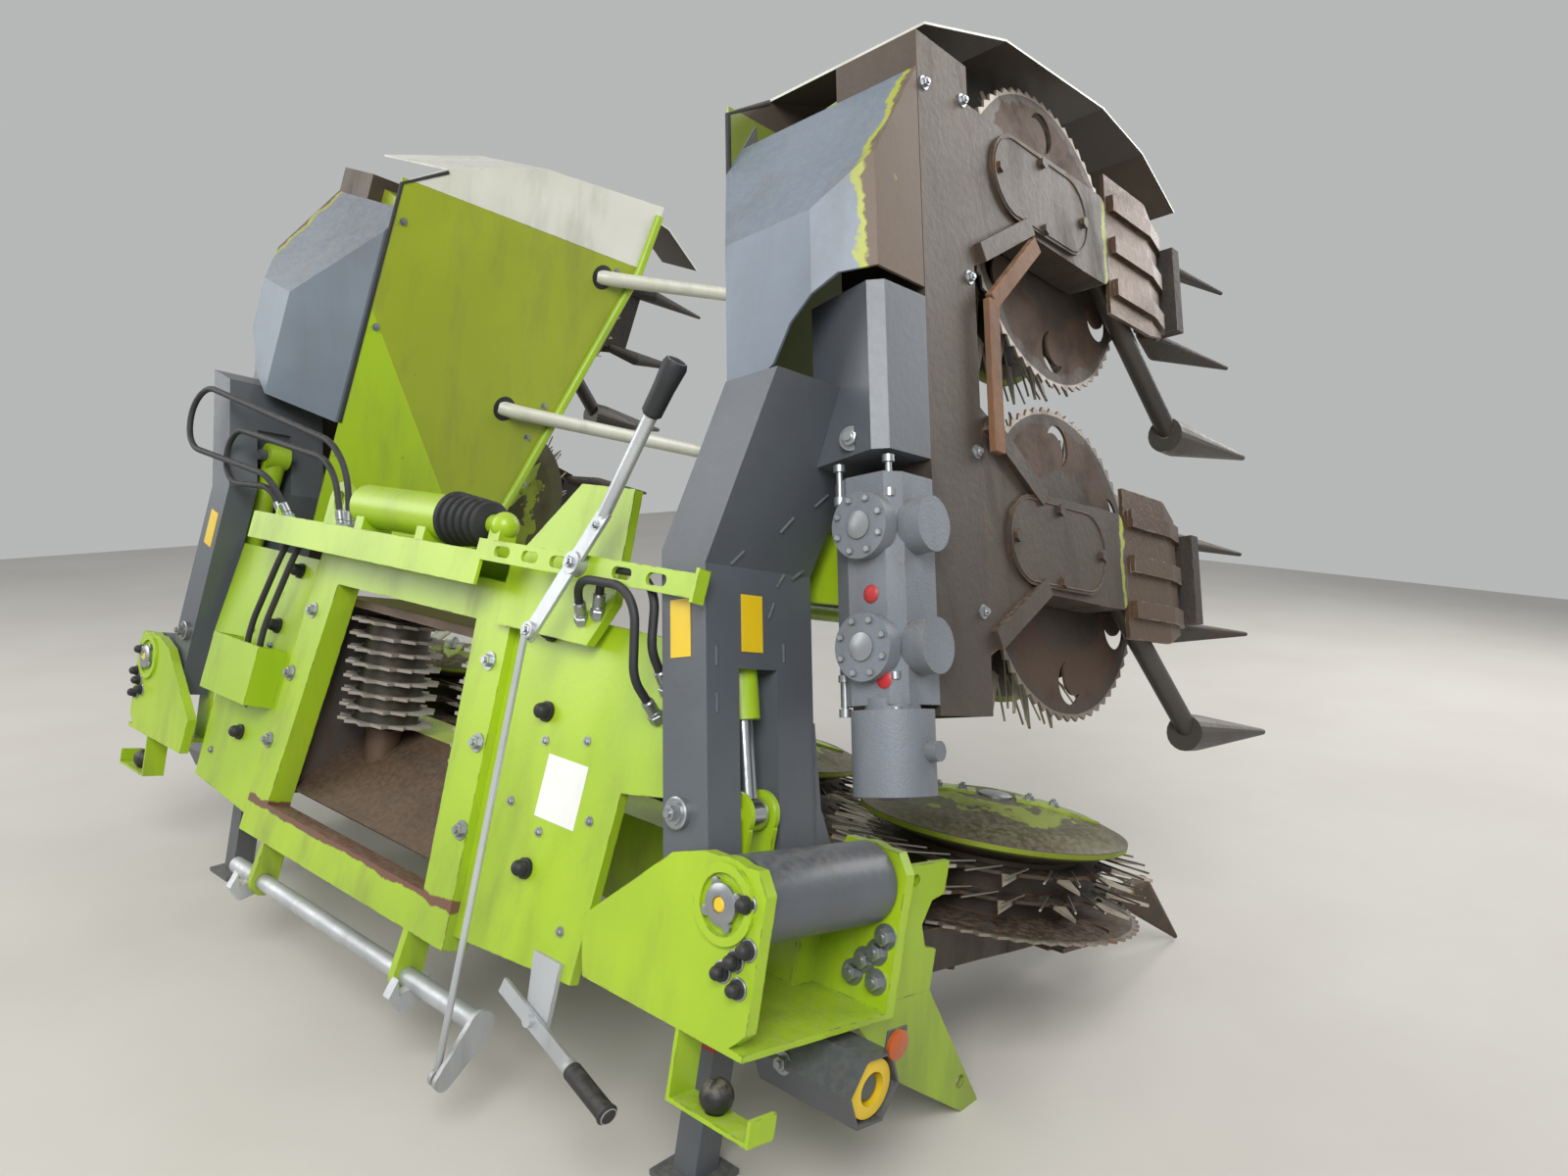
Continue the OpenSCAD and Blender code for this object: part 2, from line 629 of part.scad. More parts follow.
module latch_rod()
    color("#b9bcc0") leaned() {
        bar(rod_head + [0, -8, -10], rod_foot, 14);
        translate(rod_head) rotate([90, 0, 0]) cylinder(h = 8, d = 34);
        translate(rod_foot - [6, 0, 0]) rotate([0, 90, 0]) cylinder(h = 12, d = 32);
        translate(rod_foot) rotate([0, 90, 0]) cylinder(h = shaft_arm_x - rod_foot.x - foot_gap, d = 14);
    }
module latch_shaft()
    color("#c5c8cb") leaned() {
        bar([-494, shaft_y, -shaft_drop], [shaft_arm_x + 6, shaft_y, -shaft_drop], shaft_d);
        for (x = [-400, 375]) along_x(x, 25) translate([shaft_y, -shaft_drop]) polygon(hook_profile);
        along_x(shaft_arm_x, 12) union() {
            translate([shaft_y, -shaft_drop]) circle(r = 30);
            translate([rod_foot.y, rod_foot.z]) circle(r = 18);
            polygon([[shaft_y - 26, 15 - shaft_drop], [shaft_y + 26, -15 - shaft_drop],
                     [rod_foot.y + 16, rod_foot.z - 9], [rod_foot.y - 16, rod_foot.z + 9]]);
        }
    }

// Parking stands, each hinged between two lugs under the main beam
module stand(side)
    color("#4a4d50") parked() on_side(side) {
        difference() {
            union() {
                box([stand_x - 30, stand_y - 30, floor_z(stand_y) + 8],
                    [stand_x + 30, stand_y + 30, stand_z + 30]);
                translate([stand_x, stand_y, floor_z(stand_y)]) rotate([park_pitch, 0, 0])
                    box([-60, -60, 0], [60, 60, 12]);
            }
            translate([stand_x - 50, stand_y, stand_z]) rotate([0, 90, 0]) cylinder(h = 100, d = 31);
        }
        translate([stand_x - 52, stand_y, stand_z]) rotate([0, 90, 0]) cylinder(h = 104, d = 30);
    }
module stand_right() stand(1);
module stand_left() stand(-1);

// Rotors
module placed_rotor(side, x)
    color("#4b4540") parked() on_side(side) translate([x, 0, 0]) rotor();
module wing_rotor(side, x)
    color("#4b4540") folded(side) translate([x, 0, 0]) rotor();
module rotor_centre_right() placed_rotor(1, inner_x);
module rotor_centre_left() placed_rotor(-1, inner_x);
module rotor_mid_right() placed_rotor(1, outer_x);
module rotor_mid_left() placed_rotor(-1, outer_x);
module rotor_wing_right() wing_rotor(1, wing_x);
module rotor_wing_left() wing_rotor(-1, wing_x);
module rotor_tip_right() wing_rotor(1, tip_x);
module rotor_tip_left() wing_rotor(-1, tip_x);

// Cover over the wing rotors: level, plan outline, and the tubes that lie on it
cover_z = 445;
cover_end = wing_outer_edge + 6;
cover_plan = [[1760, beam_back - 40], [1760, -110], [2000, -30], [cover_end, 205],
              [cover_end, beam_back - 40]];
lip_low = 40;
lip_guide_h = 210;
strip_edge = [[cover_end + 70, -560], [2987, -244], [3024, 224]];
guide_tubes = [[[2741, 87], [2830, 582]], [[2237, -138], [2254, 674]]];
function cover_edge(x) =
    cover_plan[2].y
    + (x - cover_plan[2].x) * (cover_plan[3].y - cover_plan[2].y) / (cover_end - cover_plan[2].x);

// Wing sub-parts, drawn in the working position and then folded
module wing_beam(side)
    color("#5c5048") folded(side) difference() {
        box([wing_inner_edge, beam_back, 0], [wing_outer_edge, beam_front, beam_h]);
        box([wing_inner_edge - 1, beam_back + beam_wall, beam_wall],
            [wing_outer_edge + 1, beam_front - beam_wall, beam_h - beam_wall]);
    }
module wing_carrier(side)
    color("#54585d") folded(side) {
        difference() {
            union() {
                along_y(tube_back, beam_back - seat_gap - tube_back) polygon([[hinge_x - 45, hinge_z + 70],
                    [carrier_bend, hinge_z + 70], [carrier_end, 110], [carrier_end, 230],
                    [carrier_end - 275, carrier_top], [hinge_x - 45, carrier_top]]);
                along_x(carrier_end - 130, 300)
                    polygon([[beam_back - seat_gap, 0], [beam_back - 116, 5], [beam_back - 133, 32],
                             [beam_back - 94, beam_h - 2], [beam_back - seat_gap, beam_h - 2]]);
                translate([hinge_x, tube_front, hinge_z]) rotate([90, 0, 0])
                    cylinder(h = tube_front - tube_back, d = hinge_tube_d);
                translate([0, 0, hinge_z + 66]) linear_extrude(plate_t)
                    polygon([[hinge_x - 10, beam_back - 1], [hinge_x - 10, tube_front],
                             [hinge_x + 40, tube_front], [hinge_x + 130, beam_back + 12],
                             [hinge_x + 290, beam_back - 1]]);
            }
            translate([hinge_x, tube_front + 20, hinge_z]) rotate([90, 0, 0])
                cylinder(h = tube_front - tube_back + 200, d = hinge_pin_d + 2 * hinge_clear);
            box([hinge_x - 200, fold_y - slot_w / 2, hinge_z + 76],
                [wing_pin_x + 60, fold_y + slot_w / 2, carrier_top + 10]);
            box([hinge_x - 50, fold_y - slot_w / 2, hinge_z + 64],
                [hinge_x + 385, fold_y + slot_w / 2, hinge_z + 90]);
        }
        translate([wing_pin_x, fold_y + slot_w / 2, wing_pin_z]) rotate([90, 0, 0])
            cylinder(h = slot_w, d = 30);
    }
gearbox_x = 1548;
gearbox_len = 395;
gearbox_covers = [gearbox_x + 97, gearbox_x + 304];
clutch_x = 1397;
clutch_z = 47;
clutch_d = 142;
module wing_gearbox(side)
    color("#6d6a64") folded(side) {
        along_x(gearbox_x, gearbox_len)
            polygon([[beam_back - seat_gap, 0], [beam_back - 90, 0], [beam_back - 118, 20],
                     [beam_back - 118, 100], [beam_back - 85, 150], [beam_back - seat_gap, 150]]);
        for (x = gearbox_covers) {
            translate([x, beam_back - 110, 58]) rotate([90, 0, 0]) cylinder(h = 30, r = 58);
            translate([x, beam_back - 55, -38]) cylinder(h = 60, r = 48);
        }
        translate([clutch_x, beam_back - 74, clutch_z]) rotate([0, 90, 0]) {
            cylinder(h = gearbox_x - clutch_x - 8, d = clutch_d);
            translate([0, 0, -7]) cylinder(h = 20, d = 60, $fn = 6);
            cylinder(h = gearbox_x - clutch_x + 12, d = 96);
        }
        translate([clutch_x + 73, beam_back - 70, clutch_z - clutch_d / 2 - 20]) cylinder(h = 30, d = 34);
    }
module wing_gear_arms(side)
    color("#5f5750") folded(side) for (arm = [[wing_x, [1, 1]], [tip_x, [1, 0]]])
        translate([arm[0], 0, 0]) gear_arm(arm[1]);
module wing_skids(side)
    color("#7d6656") folded(side) for (x = [wing_x, tip_x]) translate([x, 0, 0]) skid_shoe();
module wing_forks(side)
    color("#3a3c3f") folded(side) for (x = [wing_x, tip_x]) translate([x, 0, 0]) fork(30);
module wing_noses(side)
    color("#54504a") folded(side) for (x = [rotor_pitch * 2, rotor_pitch * 3])
        translate([x, 0, 0]) {
            nose(0);
            nose_strut(inner_x);
        }
hood_start = 2080;
hood_back = beam_back - 205;
hood_section = [[beam_back - 2, 0], [beam_back - 140, 0], [hood_back + 5, 100], [hood_back, 300],
                [beam_back - 50, cover_z], [beam_back + 40, cover_z]];
hood_chamfer = [[wing_outer_edge - 400, hood_back - 1], [wing_outer_edge, beam_back + 45]];
module wing_hood(side)
    color("#8d97a0") folded(side) difference() {
        union() {
            difference() {
                along_x(hood_start, wing_outer_edge - hood_start)
                    polygon(bent_sheet(hood_section, -sheet_t));
                translate([0, 0, -50]) linear_extrude(600)
                    polygon([hood_chamfer[0], hood_chamfer[1] + [1, 0],
                             [wing_outer_edge + 1, beam_back - 300], [wing_outer_edge - 400, beam_back - 300]]);
            }
            intersection() {
                along_x(hood_start, wing_outer_edge - hood_start)
                    polygon(concat([for (i = [0:4]) hood_section[i]], [[beam_back - 2, cover_z]]));
                translate([0, 0, -50]) linear_extrude(600) polygon(bent_sheet(hood_chamfer, sheet_t));
            }
        }
        along_y(beam_back - 300, 400)
            polygon([[hood_start - 5, -20], [2300, -20], [2290, 60], [2215, 150], [2150, 190], [2100, 300],
                     [hood_start, 460], [hood_start - 5, 460]]);
    }
// Lime cover over the wing rotors with its white end strip and the off-white guide tubes on it
module wing_cover(side)
    color("#a8c41f") folded(side) {
        translate([0, 0, cover_z]) linear_extrude(sheet_t) polygon(cover_plan);
        translate([0, 0, cover_z - 18]) linear_extrude(19)
            polygon(bent_sheet([[cover_end - 8, cover_edge(cover_end - 8)], cover_plan[2], cover_plan[1]],
                               24));
        for (x = [1770, 2640]) along_y(beam_back + 45, 100)
            polygon([[x - 30, beam_h + seat_gap], [x + 130, beam_h + seat_gap], [x + 90, cover_z + 1],
                     [x + 10, cover_z + 1]]);
    }
module wing_strip(side)
    color("#e4e6e2") folded(side) {
        translate([0, 0, cover_z]) linear_extrude(sheet_t)
            polygon(concat([[cover_end + seat_gap, beam_back - 20]], strip_edge,
                           [[cover_end + seat_gap, 205]]));
        translate([0, 0, lip_low]) linear_extrude(cover_z + 1 - lip_low)
            polygon(bent_sheet(strip_edge, sheet_t));
        translate([0, 0, lip_low]) linear_extrude(lip_guide_h)
            polygon(bent_sheet([strip_edge[2] - [1, 10], [2988, 430], [2890, 612]], sheet_t));
    }
module wing_guides(side)
    color("#c9cbb8") folded(side) for (p = guide_tubes)
        bar(concat(p[0], cover_z + sheet_t + 15.3), concat(p[1], cover_z + sheet_t + 15.3), 30);

// Fold cylinders, from a pin in the wing carrier down to the ear on the hinge bracket.
// The ear is given in the frame of the folded wing, because the cylinder is drawn there.
ear_in_wing = let (dx = ear_x - hinge_x, dz = ear_z - hinge_z, c = cos(fold_angle), s = sin(fold_angle))
    [hinge_x + dx * c + dz * s, fold_y, hinge_z - dx * s + dz * c];
wing_pin = [wing_pin_x, fold_y, wing_pin_z];
fold_length = norm(wing_pin - ear_in_wing);
fold_tilt = atan2(ear_in_wing.z - wing_pin.z, ear_in_wing.x - wing_pin.x);
module along_cylinder(side)
    folded(side) translate(wing_pin) rotate([0, -fold_tilt, 0]) children();
module fold_barrel(side)
    color("#a3bd22") along_cylinder(side) difference() {
        union() {
            rotate([0, 90, 0]) cylinder(h = barrel_len, d = barrel_d);
            translate([0, 30, 0]) rotate([90, 0, 0]) cylinder(h = 60, r = 36);
        }
        translate([0, 60, 0]) rotate([90, 0, 0]) cylinder(h = 120, d = 31);
        translate([60, 0, 0]) rotate([0, 90, 0]) cylinder(h = barrel_len, d = rod_d + 1);
    }
module fold_rod(side)
    color("#b9bcc0") along_cylinder(side) {
        translate([90, 0, 0]) rotate([0, 90, 0]) cylinder(h = fold_length - 90 - 26, d = rod_d);
        difference() {
            translate([fold_length, 20, 0]) rotate([90, 0, 0]) cylinder(h = 40, r = 30);
            translate([fold_length, 21, 0]) rotate([90, 0, 0]) cylinder(h = 42, d = 30);
        }
    }

module wing_beam_right() wing_beam(1);
module wing_beam_left() wing_beam(-1);
module wing_carrier_right() wing_carrier(1);
module wing_carrier_left() wing_carrier(-1);
module wing_gearbox_right() wing_gearbox(1);
module wing_gearbox_left() wing_gearbox(-1);
module wing_gear_arms_right() wing_gear_arms(1);
module wing_gear_arms_left() wing_gear_arms(-1);
module wing_skids_right() wing_skids(1);
module wing_skids_left() wing_skids(-1);
module wing_forks_right() wing_forks(1);
module wing_forks_left() wing_forks(-1);
module wing_noses_right() wing_noses(1);
module wing_noses_left() wing_noses(-1);
module wing_hood_right() wing_hood(1);
module wing_hood_left() wing_hood(-1);
module wing_cover_right() wing_cover(1);
module wing_cover_left() wing_cover(-1);
module wing_strip_right() wing_strip(1);
module wing_strip_left() wing_strip(-1);
module wing_guides_right() wing_guides(1);
module wing_guides_left() wing_guides(-1);
module fold_barrel_right() fold_barrel(1);
module fold_barrel_left() fold_barrel(-1);
module fold_rod_right() fold_rod(1);
module fold_rod_left() fold_rod(-1);

centre_beam();
hinge_brackets();
mounting_frame();
rear_panels();
stand_lugs();
top_rail();
frame_damper();
feed_housing();
stripper_combs();
ball_catches();
release_lever();
valve_box();
centre_gear_arms();
centre_skids();
centre_forks();
centre_noses();
centre_guides();
front_stands();
drive_inputs();
intake_drum_right();
intake_drum_left();
latch_lever();
latch_rod();
latch_shaft();
stand_right();
stand_left();
rotor_centre_right();
rotor_centre_left();
rotor_mid_right();
rotor_mid_left();
rotor_wing_right();
rotor_wing_left();
rotor_tip_right();
rotor_tip_left();
wing_beam_right();
wing_beam_left();
wing_carrier_right();
wing_carrier_left();
wing_gearbox_right();
wing_gearbox_left();
wing_gear_arms_right();
wing_gear_arms_left();
wing_skids_right();
wing_skids_left();
wing_forks_right();
wing_forks_left();
wing_noses_right();
wing_noses_left();
wing_hood_right();
wing_hood_left();
wing_cover_right();
wing_cover_left();
wing_strip_right();
wing_strip_left();
wing_guides_right();
wing_guides_left();
fold_barrel_right();
fold_barrel_left();
fold_rod_right();
fold_rod_left();
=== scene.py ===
"""Looks of a folding rotary maize header, folded for the road and parked nose-down.

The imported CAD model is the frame. This script gives every CAD node its finish, adds the
small pieces that the CAD leaves out, and sets up the floor, the lamps and the camera.
"""

import logging
import math
from collections.abc import Sequence
from dataclasses import dataclass, replace
from enum import Enum

import bmesh
import bpy
from mathutils import Matrix, Vector


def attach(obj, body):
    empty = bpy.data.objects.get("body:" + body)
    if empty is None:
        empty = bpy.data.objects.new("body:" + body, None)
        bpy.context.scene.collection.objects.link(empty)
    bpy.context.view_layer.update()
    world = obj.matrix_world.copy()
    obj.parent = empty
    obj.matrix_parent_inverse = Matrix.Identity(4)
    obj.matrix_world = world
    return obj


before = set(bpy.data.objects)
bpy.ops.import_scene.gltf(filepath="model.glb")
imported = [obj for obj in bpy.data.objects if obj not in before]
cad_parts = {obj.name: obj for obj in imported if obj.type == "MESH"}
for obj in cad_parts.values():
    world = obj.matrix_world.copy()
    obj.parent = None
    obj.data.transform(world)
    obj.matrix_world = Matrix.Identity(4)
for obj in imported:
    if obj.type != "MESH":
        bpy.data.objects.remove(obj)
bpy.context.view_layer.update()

log = logging.getLogger("header")

HEADER_BODY = "header"
RIGHTWARDS = Vector((1, 0, 0))
FORWARDS = Vector((0, 1, 0))
BACKWARDS = Vector((0, -1, 0))
UPWARDS = Vector((0, 0, 1))
DOWNWARDS = Vector((0, 0, -1))

Place = tuple[float, float, float]
Outline = Sequence[tuple[float, float]]


class Side(Enum):
    """The two wings and what belongs to them."""

    RIGHT = 1
    LEFT = -1

    @property
    def word(self) -> str:
        """Name ending that the CAD nodes of this side carry."""
        return self.name.lower()


class Plane(Enum):
    """Planes that an outline is drawn in; the third axis is the one it is pushed along."""

    XY = (0, 1, 2)
    XZ = (0, 2, 1)
    YZ = (1, 2, 0)

    def point(self, across: float, up: float, along: float) -> Vector:
        """Point of the outline at a place along the push direction.

        Args:
            across: first measure of the outline.
            up: second measure of the outline.
            along: place along the third axis.

        Returns:
            The point.
        """
        values = [0.0, 0.0, 0.0]
        for index, value in zip(self.value, (across, up, along)):
            values[index] = value
        return Vector(values)


@dataclass(frozen=True)
class HeaderFrame:
    """Frames that the header's parts are measured in, in metres and degrees."""

    pitch: float = 11.0
    lift: float = 0.260
    shift: float = -0.0593
    rear_y: float = -0.890
    lean: float = 7.0
    hinge_x: float = 1.235
    hinge_z: float = 0.215
    fold: float = 103.0

    def parked(self, side: Side = Side.RIGHT) -> Matrix:
        """Frame of the rotor arms: Z along the rotor axes, zero under the arms.

        Args:
            side: the side that X points to.

        Returns:
            Matrix from the frame to the scene.
        """
        turn = Matrix.Rotation(math.radians(-self.pitch), 4, "X")
        mirror = Matrix.Diagonal((side.value, 1, 1, 1))
        return Matrix.Translation((0, self.shift, self.lift)) @ turn @ mirror

    def leaned(self, side: Side = Side.RIGHT) -> Matrix:
        """Frame of the mounting frame: Y zero on its front face."""
        turn = Matrix.Rotation(math.radians(-self.lean), 4, "X")
        return self.parked(side) @ Matrix.Translation((0, self.rear_y, 0)) @ turn

    def folded(self, side: Side) -> Matrix:
        """Frame of a wing, in which it lies unfolded beside the centre.

        Args:
            side: the wing's side.

        Returns:
            Matrix from the frame to the scene.
        """
        hinge = Matrix.Translation((self.hinge_x, 0, self.hinge_z))
        turn = Matrix.Rotation(math.radians(-self.fold), 4, "Y")
        return self.parked(side) @ hinge @ turn @ hinge.inverted()


FRAMES = HeaderFrame()


def aimed(place: Matrix, direction: Vector) -> Vector:
    """Unit vector in the scene for a direction in one of the frames."""
    return (place.to_3x3() @ direction).normalized()


# Shader expressions and finishes


def linear(code: str) -> tuple[float, float, float, float]:
    """Scene-linear colour of a hex colour code.

    Args:
        code: the colour as #rrggbb.

    Returns:
        Red, green, blue and an alpha of one.
    """
    parts = [int(code[k : k + 2], 16) / 255 for k in (1, 3, 5)]
    lit = [p / 12.92 if p <= 0.04045 else ((p + 0.055) / 1.055) ** 2.4 for p in parts]
    return (*lit, 1.0)


class Socket:
    """One output of a shader tree; arithmetic on it adds Math nodes."""

    def __init__(self, owner: "Tree", output: bpy.types.NodeSocket) -> None:
        """Keeps the tree that the output belongs to."""
        self.owner = owner
        self.output = output

    def _with(self, operation: str, other: "Socket | float", swapped: bool = False) -> "Socket":
        """Adds one Math node.

        Args:
            operation: Blender's name of the operation.
            other: the second value.
            swapped: whether the second value comes first.

        Returns:
            The node's result.
        """
        pair = (other, self) if swapped else (self, other)
        return self.owner.node("ShaderNodeMath", {"operation": operation}, {0: pair[0], 1: pair[1]})

    def __add__(self, other: "Socket | float") -> "Socket":
        """Sum."""
        return self._with("ADD", other)

    def __radd__(self, other: float) -> "Socket":
        """Sum with a number in front."""
        return self._with("ADD", other, True)

    def __sub__(self, other: "Socket | float") -> "Socket":
        """Difference."""
        return self._with("SUBTRACT", other)

    def __rsub__(self, other: float) -> "Socket":
        """Difference from a number."""
        return self._with("SUBTRACT", other, True)

    def __mul__(self, other: "Socket | float") -> "Socket":
        """Product."""
        return self._with("MULTIPLY", other)

    def __rmul__(self, other: float) -> "Socket":
        """Product with a number in front."""
        return self._with("MULTIPLY", other, True)

    def __pow__(self, other: float) -> "Socket":
        """Power."""
        return self._with("POWER", other)

    def most(self, other: "Socket | float") -> "Socket":
        """The larger of two values."""
        return self._with("MAXIMUM", other)

    def least(self, other: "Socket | float") -> "Socket":
        """The smaller of two values."""
        return self._with("MINIMUM", other)

    def ramp(self, low: float, high: float) -> "Socket":
        """Smooth step from 0 to 1.

        Args:
            low: value at which it is still 0.
            high: value at which it has reached 1.

        Returns:
            The step.
        """
        return self.owner.node(
            "ShaderNodeMapRange",
            {"interpolation_type": "SMOOTHSTEP"},
            {"Value": self, "From Min": low, "From Max": high},
        )

    def band(self, low: float, high: float, soft: float) -> "Socket":
        """One between low and high, fading to zero over soft."""
        return self.ramp(low - soft, low) * (1 - self.ramp(high, high + soft))


class Tree:
    """A tree of shader nodes while it is being written."""

    def __init__(self, owner: bpy.types.Material | bpy.types.World) -> None:
        """Empties the owner's tree.

        Args:
            owner: a material or a world.
        """
        owner.use_nodes = True
        self.tree = owner.node_tree
        self.tree.nodes.clear()

    def node(
        self,
        kind: str,
        settings: dict[str, object],
        inputs: dict[str | int, object],
        output: str | int = 0,
    ) -> Socket:
        """Adds any node.

        Args:
            kind: the node's type.
            settings: its settings, which are set first.
            inputs: values or links by socket name or number.
            output: the output that is wanted.

        Returns:
            That output.
        """
        made = self.tree.nodes.new(kind)
        for key, value in settings.items():
            setattr(made, key, value)
        for key, value in inputs.items():
            if isinstance(value, Socket):
                self.tree.links.new(value.output, made.inputs[key])
            else:
                made.inputs[key].default_value = value
        return Socket(self, made.outputs[output])

    def vectors(self, operation: str, first: object, second: object, output: str | int = 0) -> Socket:
        """Adds one Vector Math node for two vectors, each a link or plain numbers."""
        return self.node("ShaderNodeVectorMath", {"operation": operation}, {0: first, 1: second}, output)

    def dot(self, first: object, second: object) -> Socket:
        """Dot product of two vectors."""
        return self.vectors("DOT_PRODUCT", first, second, "Value")

    def end(self, kind: str, surface: Socket) -> None:
        """Ends the tree with its output node."""
        last = self.tree.nodes.new(kind)
        self.tree.links.new(surface.output, last.inputs["Surface"])


class Sheet(Tree):
    """A material's shader tree."""

    noise_roughness = 0.6
    bevel_samples = 4
    edge_steps = (0.02, 0.16)
    coat_roughness = 0.25
    bump_strength = 0.8

    def __init__(self, name: str) -> None:
        """Starts a new material.

        Args:
            name: the material's name.
        """
        self.material = bpy.data.materials.new(name)
        super().__init__(self.material)
        coordinates = self.tree.nodes.new("ShaderNodeTexCoord")
        self.place = Socket(self, coordinates.outputs["Object"])
        self.normal = Socket(self, coordinates.outputs["Normal"])

    def noise(self, scale: float, detail: float, factors: Place = (1, 1, 1)) -> Socket:
        """Fractal noise over the surface.

        Args:
            scale: waves a metre.
            detail: octaves.
            factors: how much each axis is stretched.

        Returns:
            The noise, about 0.5 on average.
        """
        place = self.place if factors == (1, 1, 1) else self.vectors("MULTIPLY", self.place, factors)
        values = {"Vector": place, "Scale": scale, "Detail": detail, "Roughness": self.noise_roughness}
        return self.node("ShaderNodeTexNoise", {}, values)

    def along(self, direction: Vector, origin: Vector) -> Socket:
        """Distance from the origin along a direction."""
        return self.dot(self.place, tuple(direction)) - direction.dot(origin)

    def distance(self, point: Vector) -> Socket:
        """Distance from a point."""
        return self.vectors("DISTANCE", self.place, tuple(point), "Value")

    def edges(self, radius: float) -> Socket:
        """Mask of the edges that wear through first.

        Args:
            radius: how far from an edge the wear reaches.

        Returns:
            One at the edges and zero on flat faces.
        """
        rounded = self.node("ShaderNodeBevel", {"samples": self.bevel_samples}, {"Radius": radius})
        flat = self.node("ShaderNodeNewGeometry", {}, {}, "Normal")
        return (1 - self.dot(rounded, flat)).ramp(*self.edge_steps)

    def tint(self, mask: "Socket | float", under: "Socket | str", over: "Socket | str") -> Socket:
        """Lays one colour over another.

        Args:
            mask: how much of the upper colour shows.
            under: the lower colour, a link or a hex code.
            over: the upper colour, a link or a hex code.

        Returns:
            The mixed colour.
        """
        pair = [c if isinstance(c, Socket) else linear(c) for c in (under, over)]
        return self.node("ShaderNodeMix", {"data_type": "RGBA"}, {0: mask, 6: pair[0], 7: pair[1]}, 2)

    def close(
        self,
        colour: "Socket | str",
        roughness: "Socket | float",
        metallic: "Socket | float",
        coat: float,
        relief: "Socket | None",
        depth: float,
    ) -> bpy.types.Material:
        """Ends the tree with its shader.

        Args:
            colour: base colour.
            roughness: roughness.
            metallic: metallic share.
            coat: weight of the clear coat.
            relief: height that the bump follows.
            depth: height of the bump in metres.

        Returns:
            The finished material.
        """
        values: dict[str | int, object] = {
            "Base Color": colour if isinstance(colour, Socket) else linear(colour),
            "Roughness": roughness,
            "Metallic": metallic,
            "Coat Weight": coat,
            "Coat Roughness": self.coat_roughness,
        }
        if relief is not None:
            bump = {"Height": relief, "Distance": depth, "Strength": self.bump_strength}
            values["Normal"] = self.node("ShaderNodeBump", {}, bump)
        self.end("ShaderNodeOutputMaterial", self.node("ShaderNodeBsdfPrincipled", {}, values))
        return self.material


@dataclass(frozen=True)
class Zone:
    """A part of one surface that has a colour of its own."""

    colour: str
    roughness: float = 0.6

    def mask(self, sheet: Sheet) -> Socket:
        """Where the zone is; each kind of zone has its own rule."""
        raise NotImplementedError


@dataclass(frozen=True)
class Ball(Zone):
    """What lies within a sphere."""

    centre: Vector = Vector()
    radius: float = 0.03
    soft: float = 0.001

    def mask(self, sheet: Sheet) -> Socket:
        """One inside the sphere."""
        return 1 - sheet.distance(self.centre).ramp(self.radius, self.radius + self.soft)


@dataclass(frozen=True)
class Slab(Zone):
    """What lies between two parallel planes, with an uneven edge."""

    direction: Vector = UPWARDS
    origin: Vector = Vector()
    low: float = 0.0
    high: float = 1.0
    soft: float = 0.001
    uneven: float = 0.0
    waves: float = 14.0

    def mask(self, sheet: Sheet) -> Socket:
        """One between the planes.

        Args:
            sheet: the material's tree.

        Returns:
            The mask.
        """
        height = sheet.along(self.direction, self.origin)
        if self.uneven:
            height = height + (sheet.noise(self.waves, 5.0) - 0.5) * self.uneven
        return height.band(self.low, self.high, self.soft)


@dataclass(frozen=True)
class Ring(Zone):
    """What lies between two radii and two heights about an axis."""

    axis: Vector = UPWARDS
    origin: Vector = Vector()
    radii: tuple[float, float] = (0.0, 1.0)
    heights: tuple[float, float] = (0.0, 1.0)
    uneven: float = 0.0
    waves: float = 11.0
    soft_sides: float = 0.002
    soft_ends: float = 0.001

    def mask(self, sheet: Sheet) -> Socket:
        """One inside the ring.

        Args:
            sheet: the material's tree.

        Returns:
            The mask.
        """
        height = sheet.along(self.axis, self.origin)
        reach = sheet.distance(self.origin)
        radius = (reach * reach - height * height).most(0.0) ** 0.5
        if self.uneven:
            radius = radius + (sheet.noise(self.waves, 5.0) - 0.5) * self.uneven
        return radius.band(*self.radii, self.soft_sides) * height.band(*self.heights, self.soft_ends)


@dataclass(frozen=True)
class Lining(Zone):
    """The faces that look towards a point, such as the inside of a bent sheet."""

    towards: Vector = Vector()
    steps: tuple[float, float] = (0.004, 0.012)

    def mask(self, sheet: Sheet) -> Socket:
        """One where the surface faces the point."""
        way = sheet.vectors("SUBTRACT", tuple(self.towards), sheet.place)
        return sheet.dot(sheet.normal, way).ramp(*self.steps)


@dataclass(frozen=True)
class Weather:
    """What all finishes share: noise scales in waves a metre, and where each mask begins and ends."""

    cloud_waves: float = 1.9
    clouds: tuple[float, float] = (0.34, 0.68)
    run_waves: float = 9.0
    runs: tuple[float, float] = (0.46, 0.78)
    low_runs: tuple[float, float] = (0.3, 0.6)
    splashed: tuple[float, float] = (0.02, 0.6)
    most_grime: float = 0.9
    dust: str = "#a79b88"
    dusty_tilt: tuple[float, float] = (0.2, 0.95)
    dusty_spots: tuple[float, float] = (0.36, 0.66)
    edge_radius: float = 0.005
    flake_waves: float = 26.0
    flakes: tuple[float, float] = (0.48, 0.62)
    chip_waves: float = 13.0
    chips: tuple[float, float] = (0.70, 0.735)
    speckled: float = 0.16
    dulled_by_dust: float = 0.35
    dulled_by_wear: float = 0.25
    dulled_by_grime: float = 0.3
    roughest: float = 0.95


WEATHER = Weather()


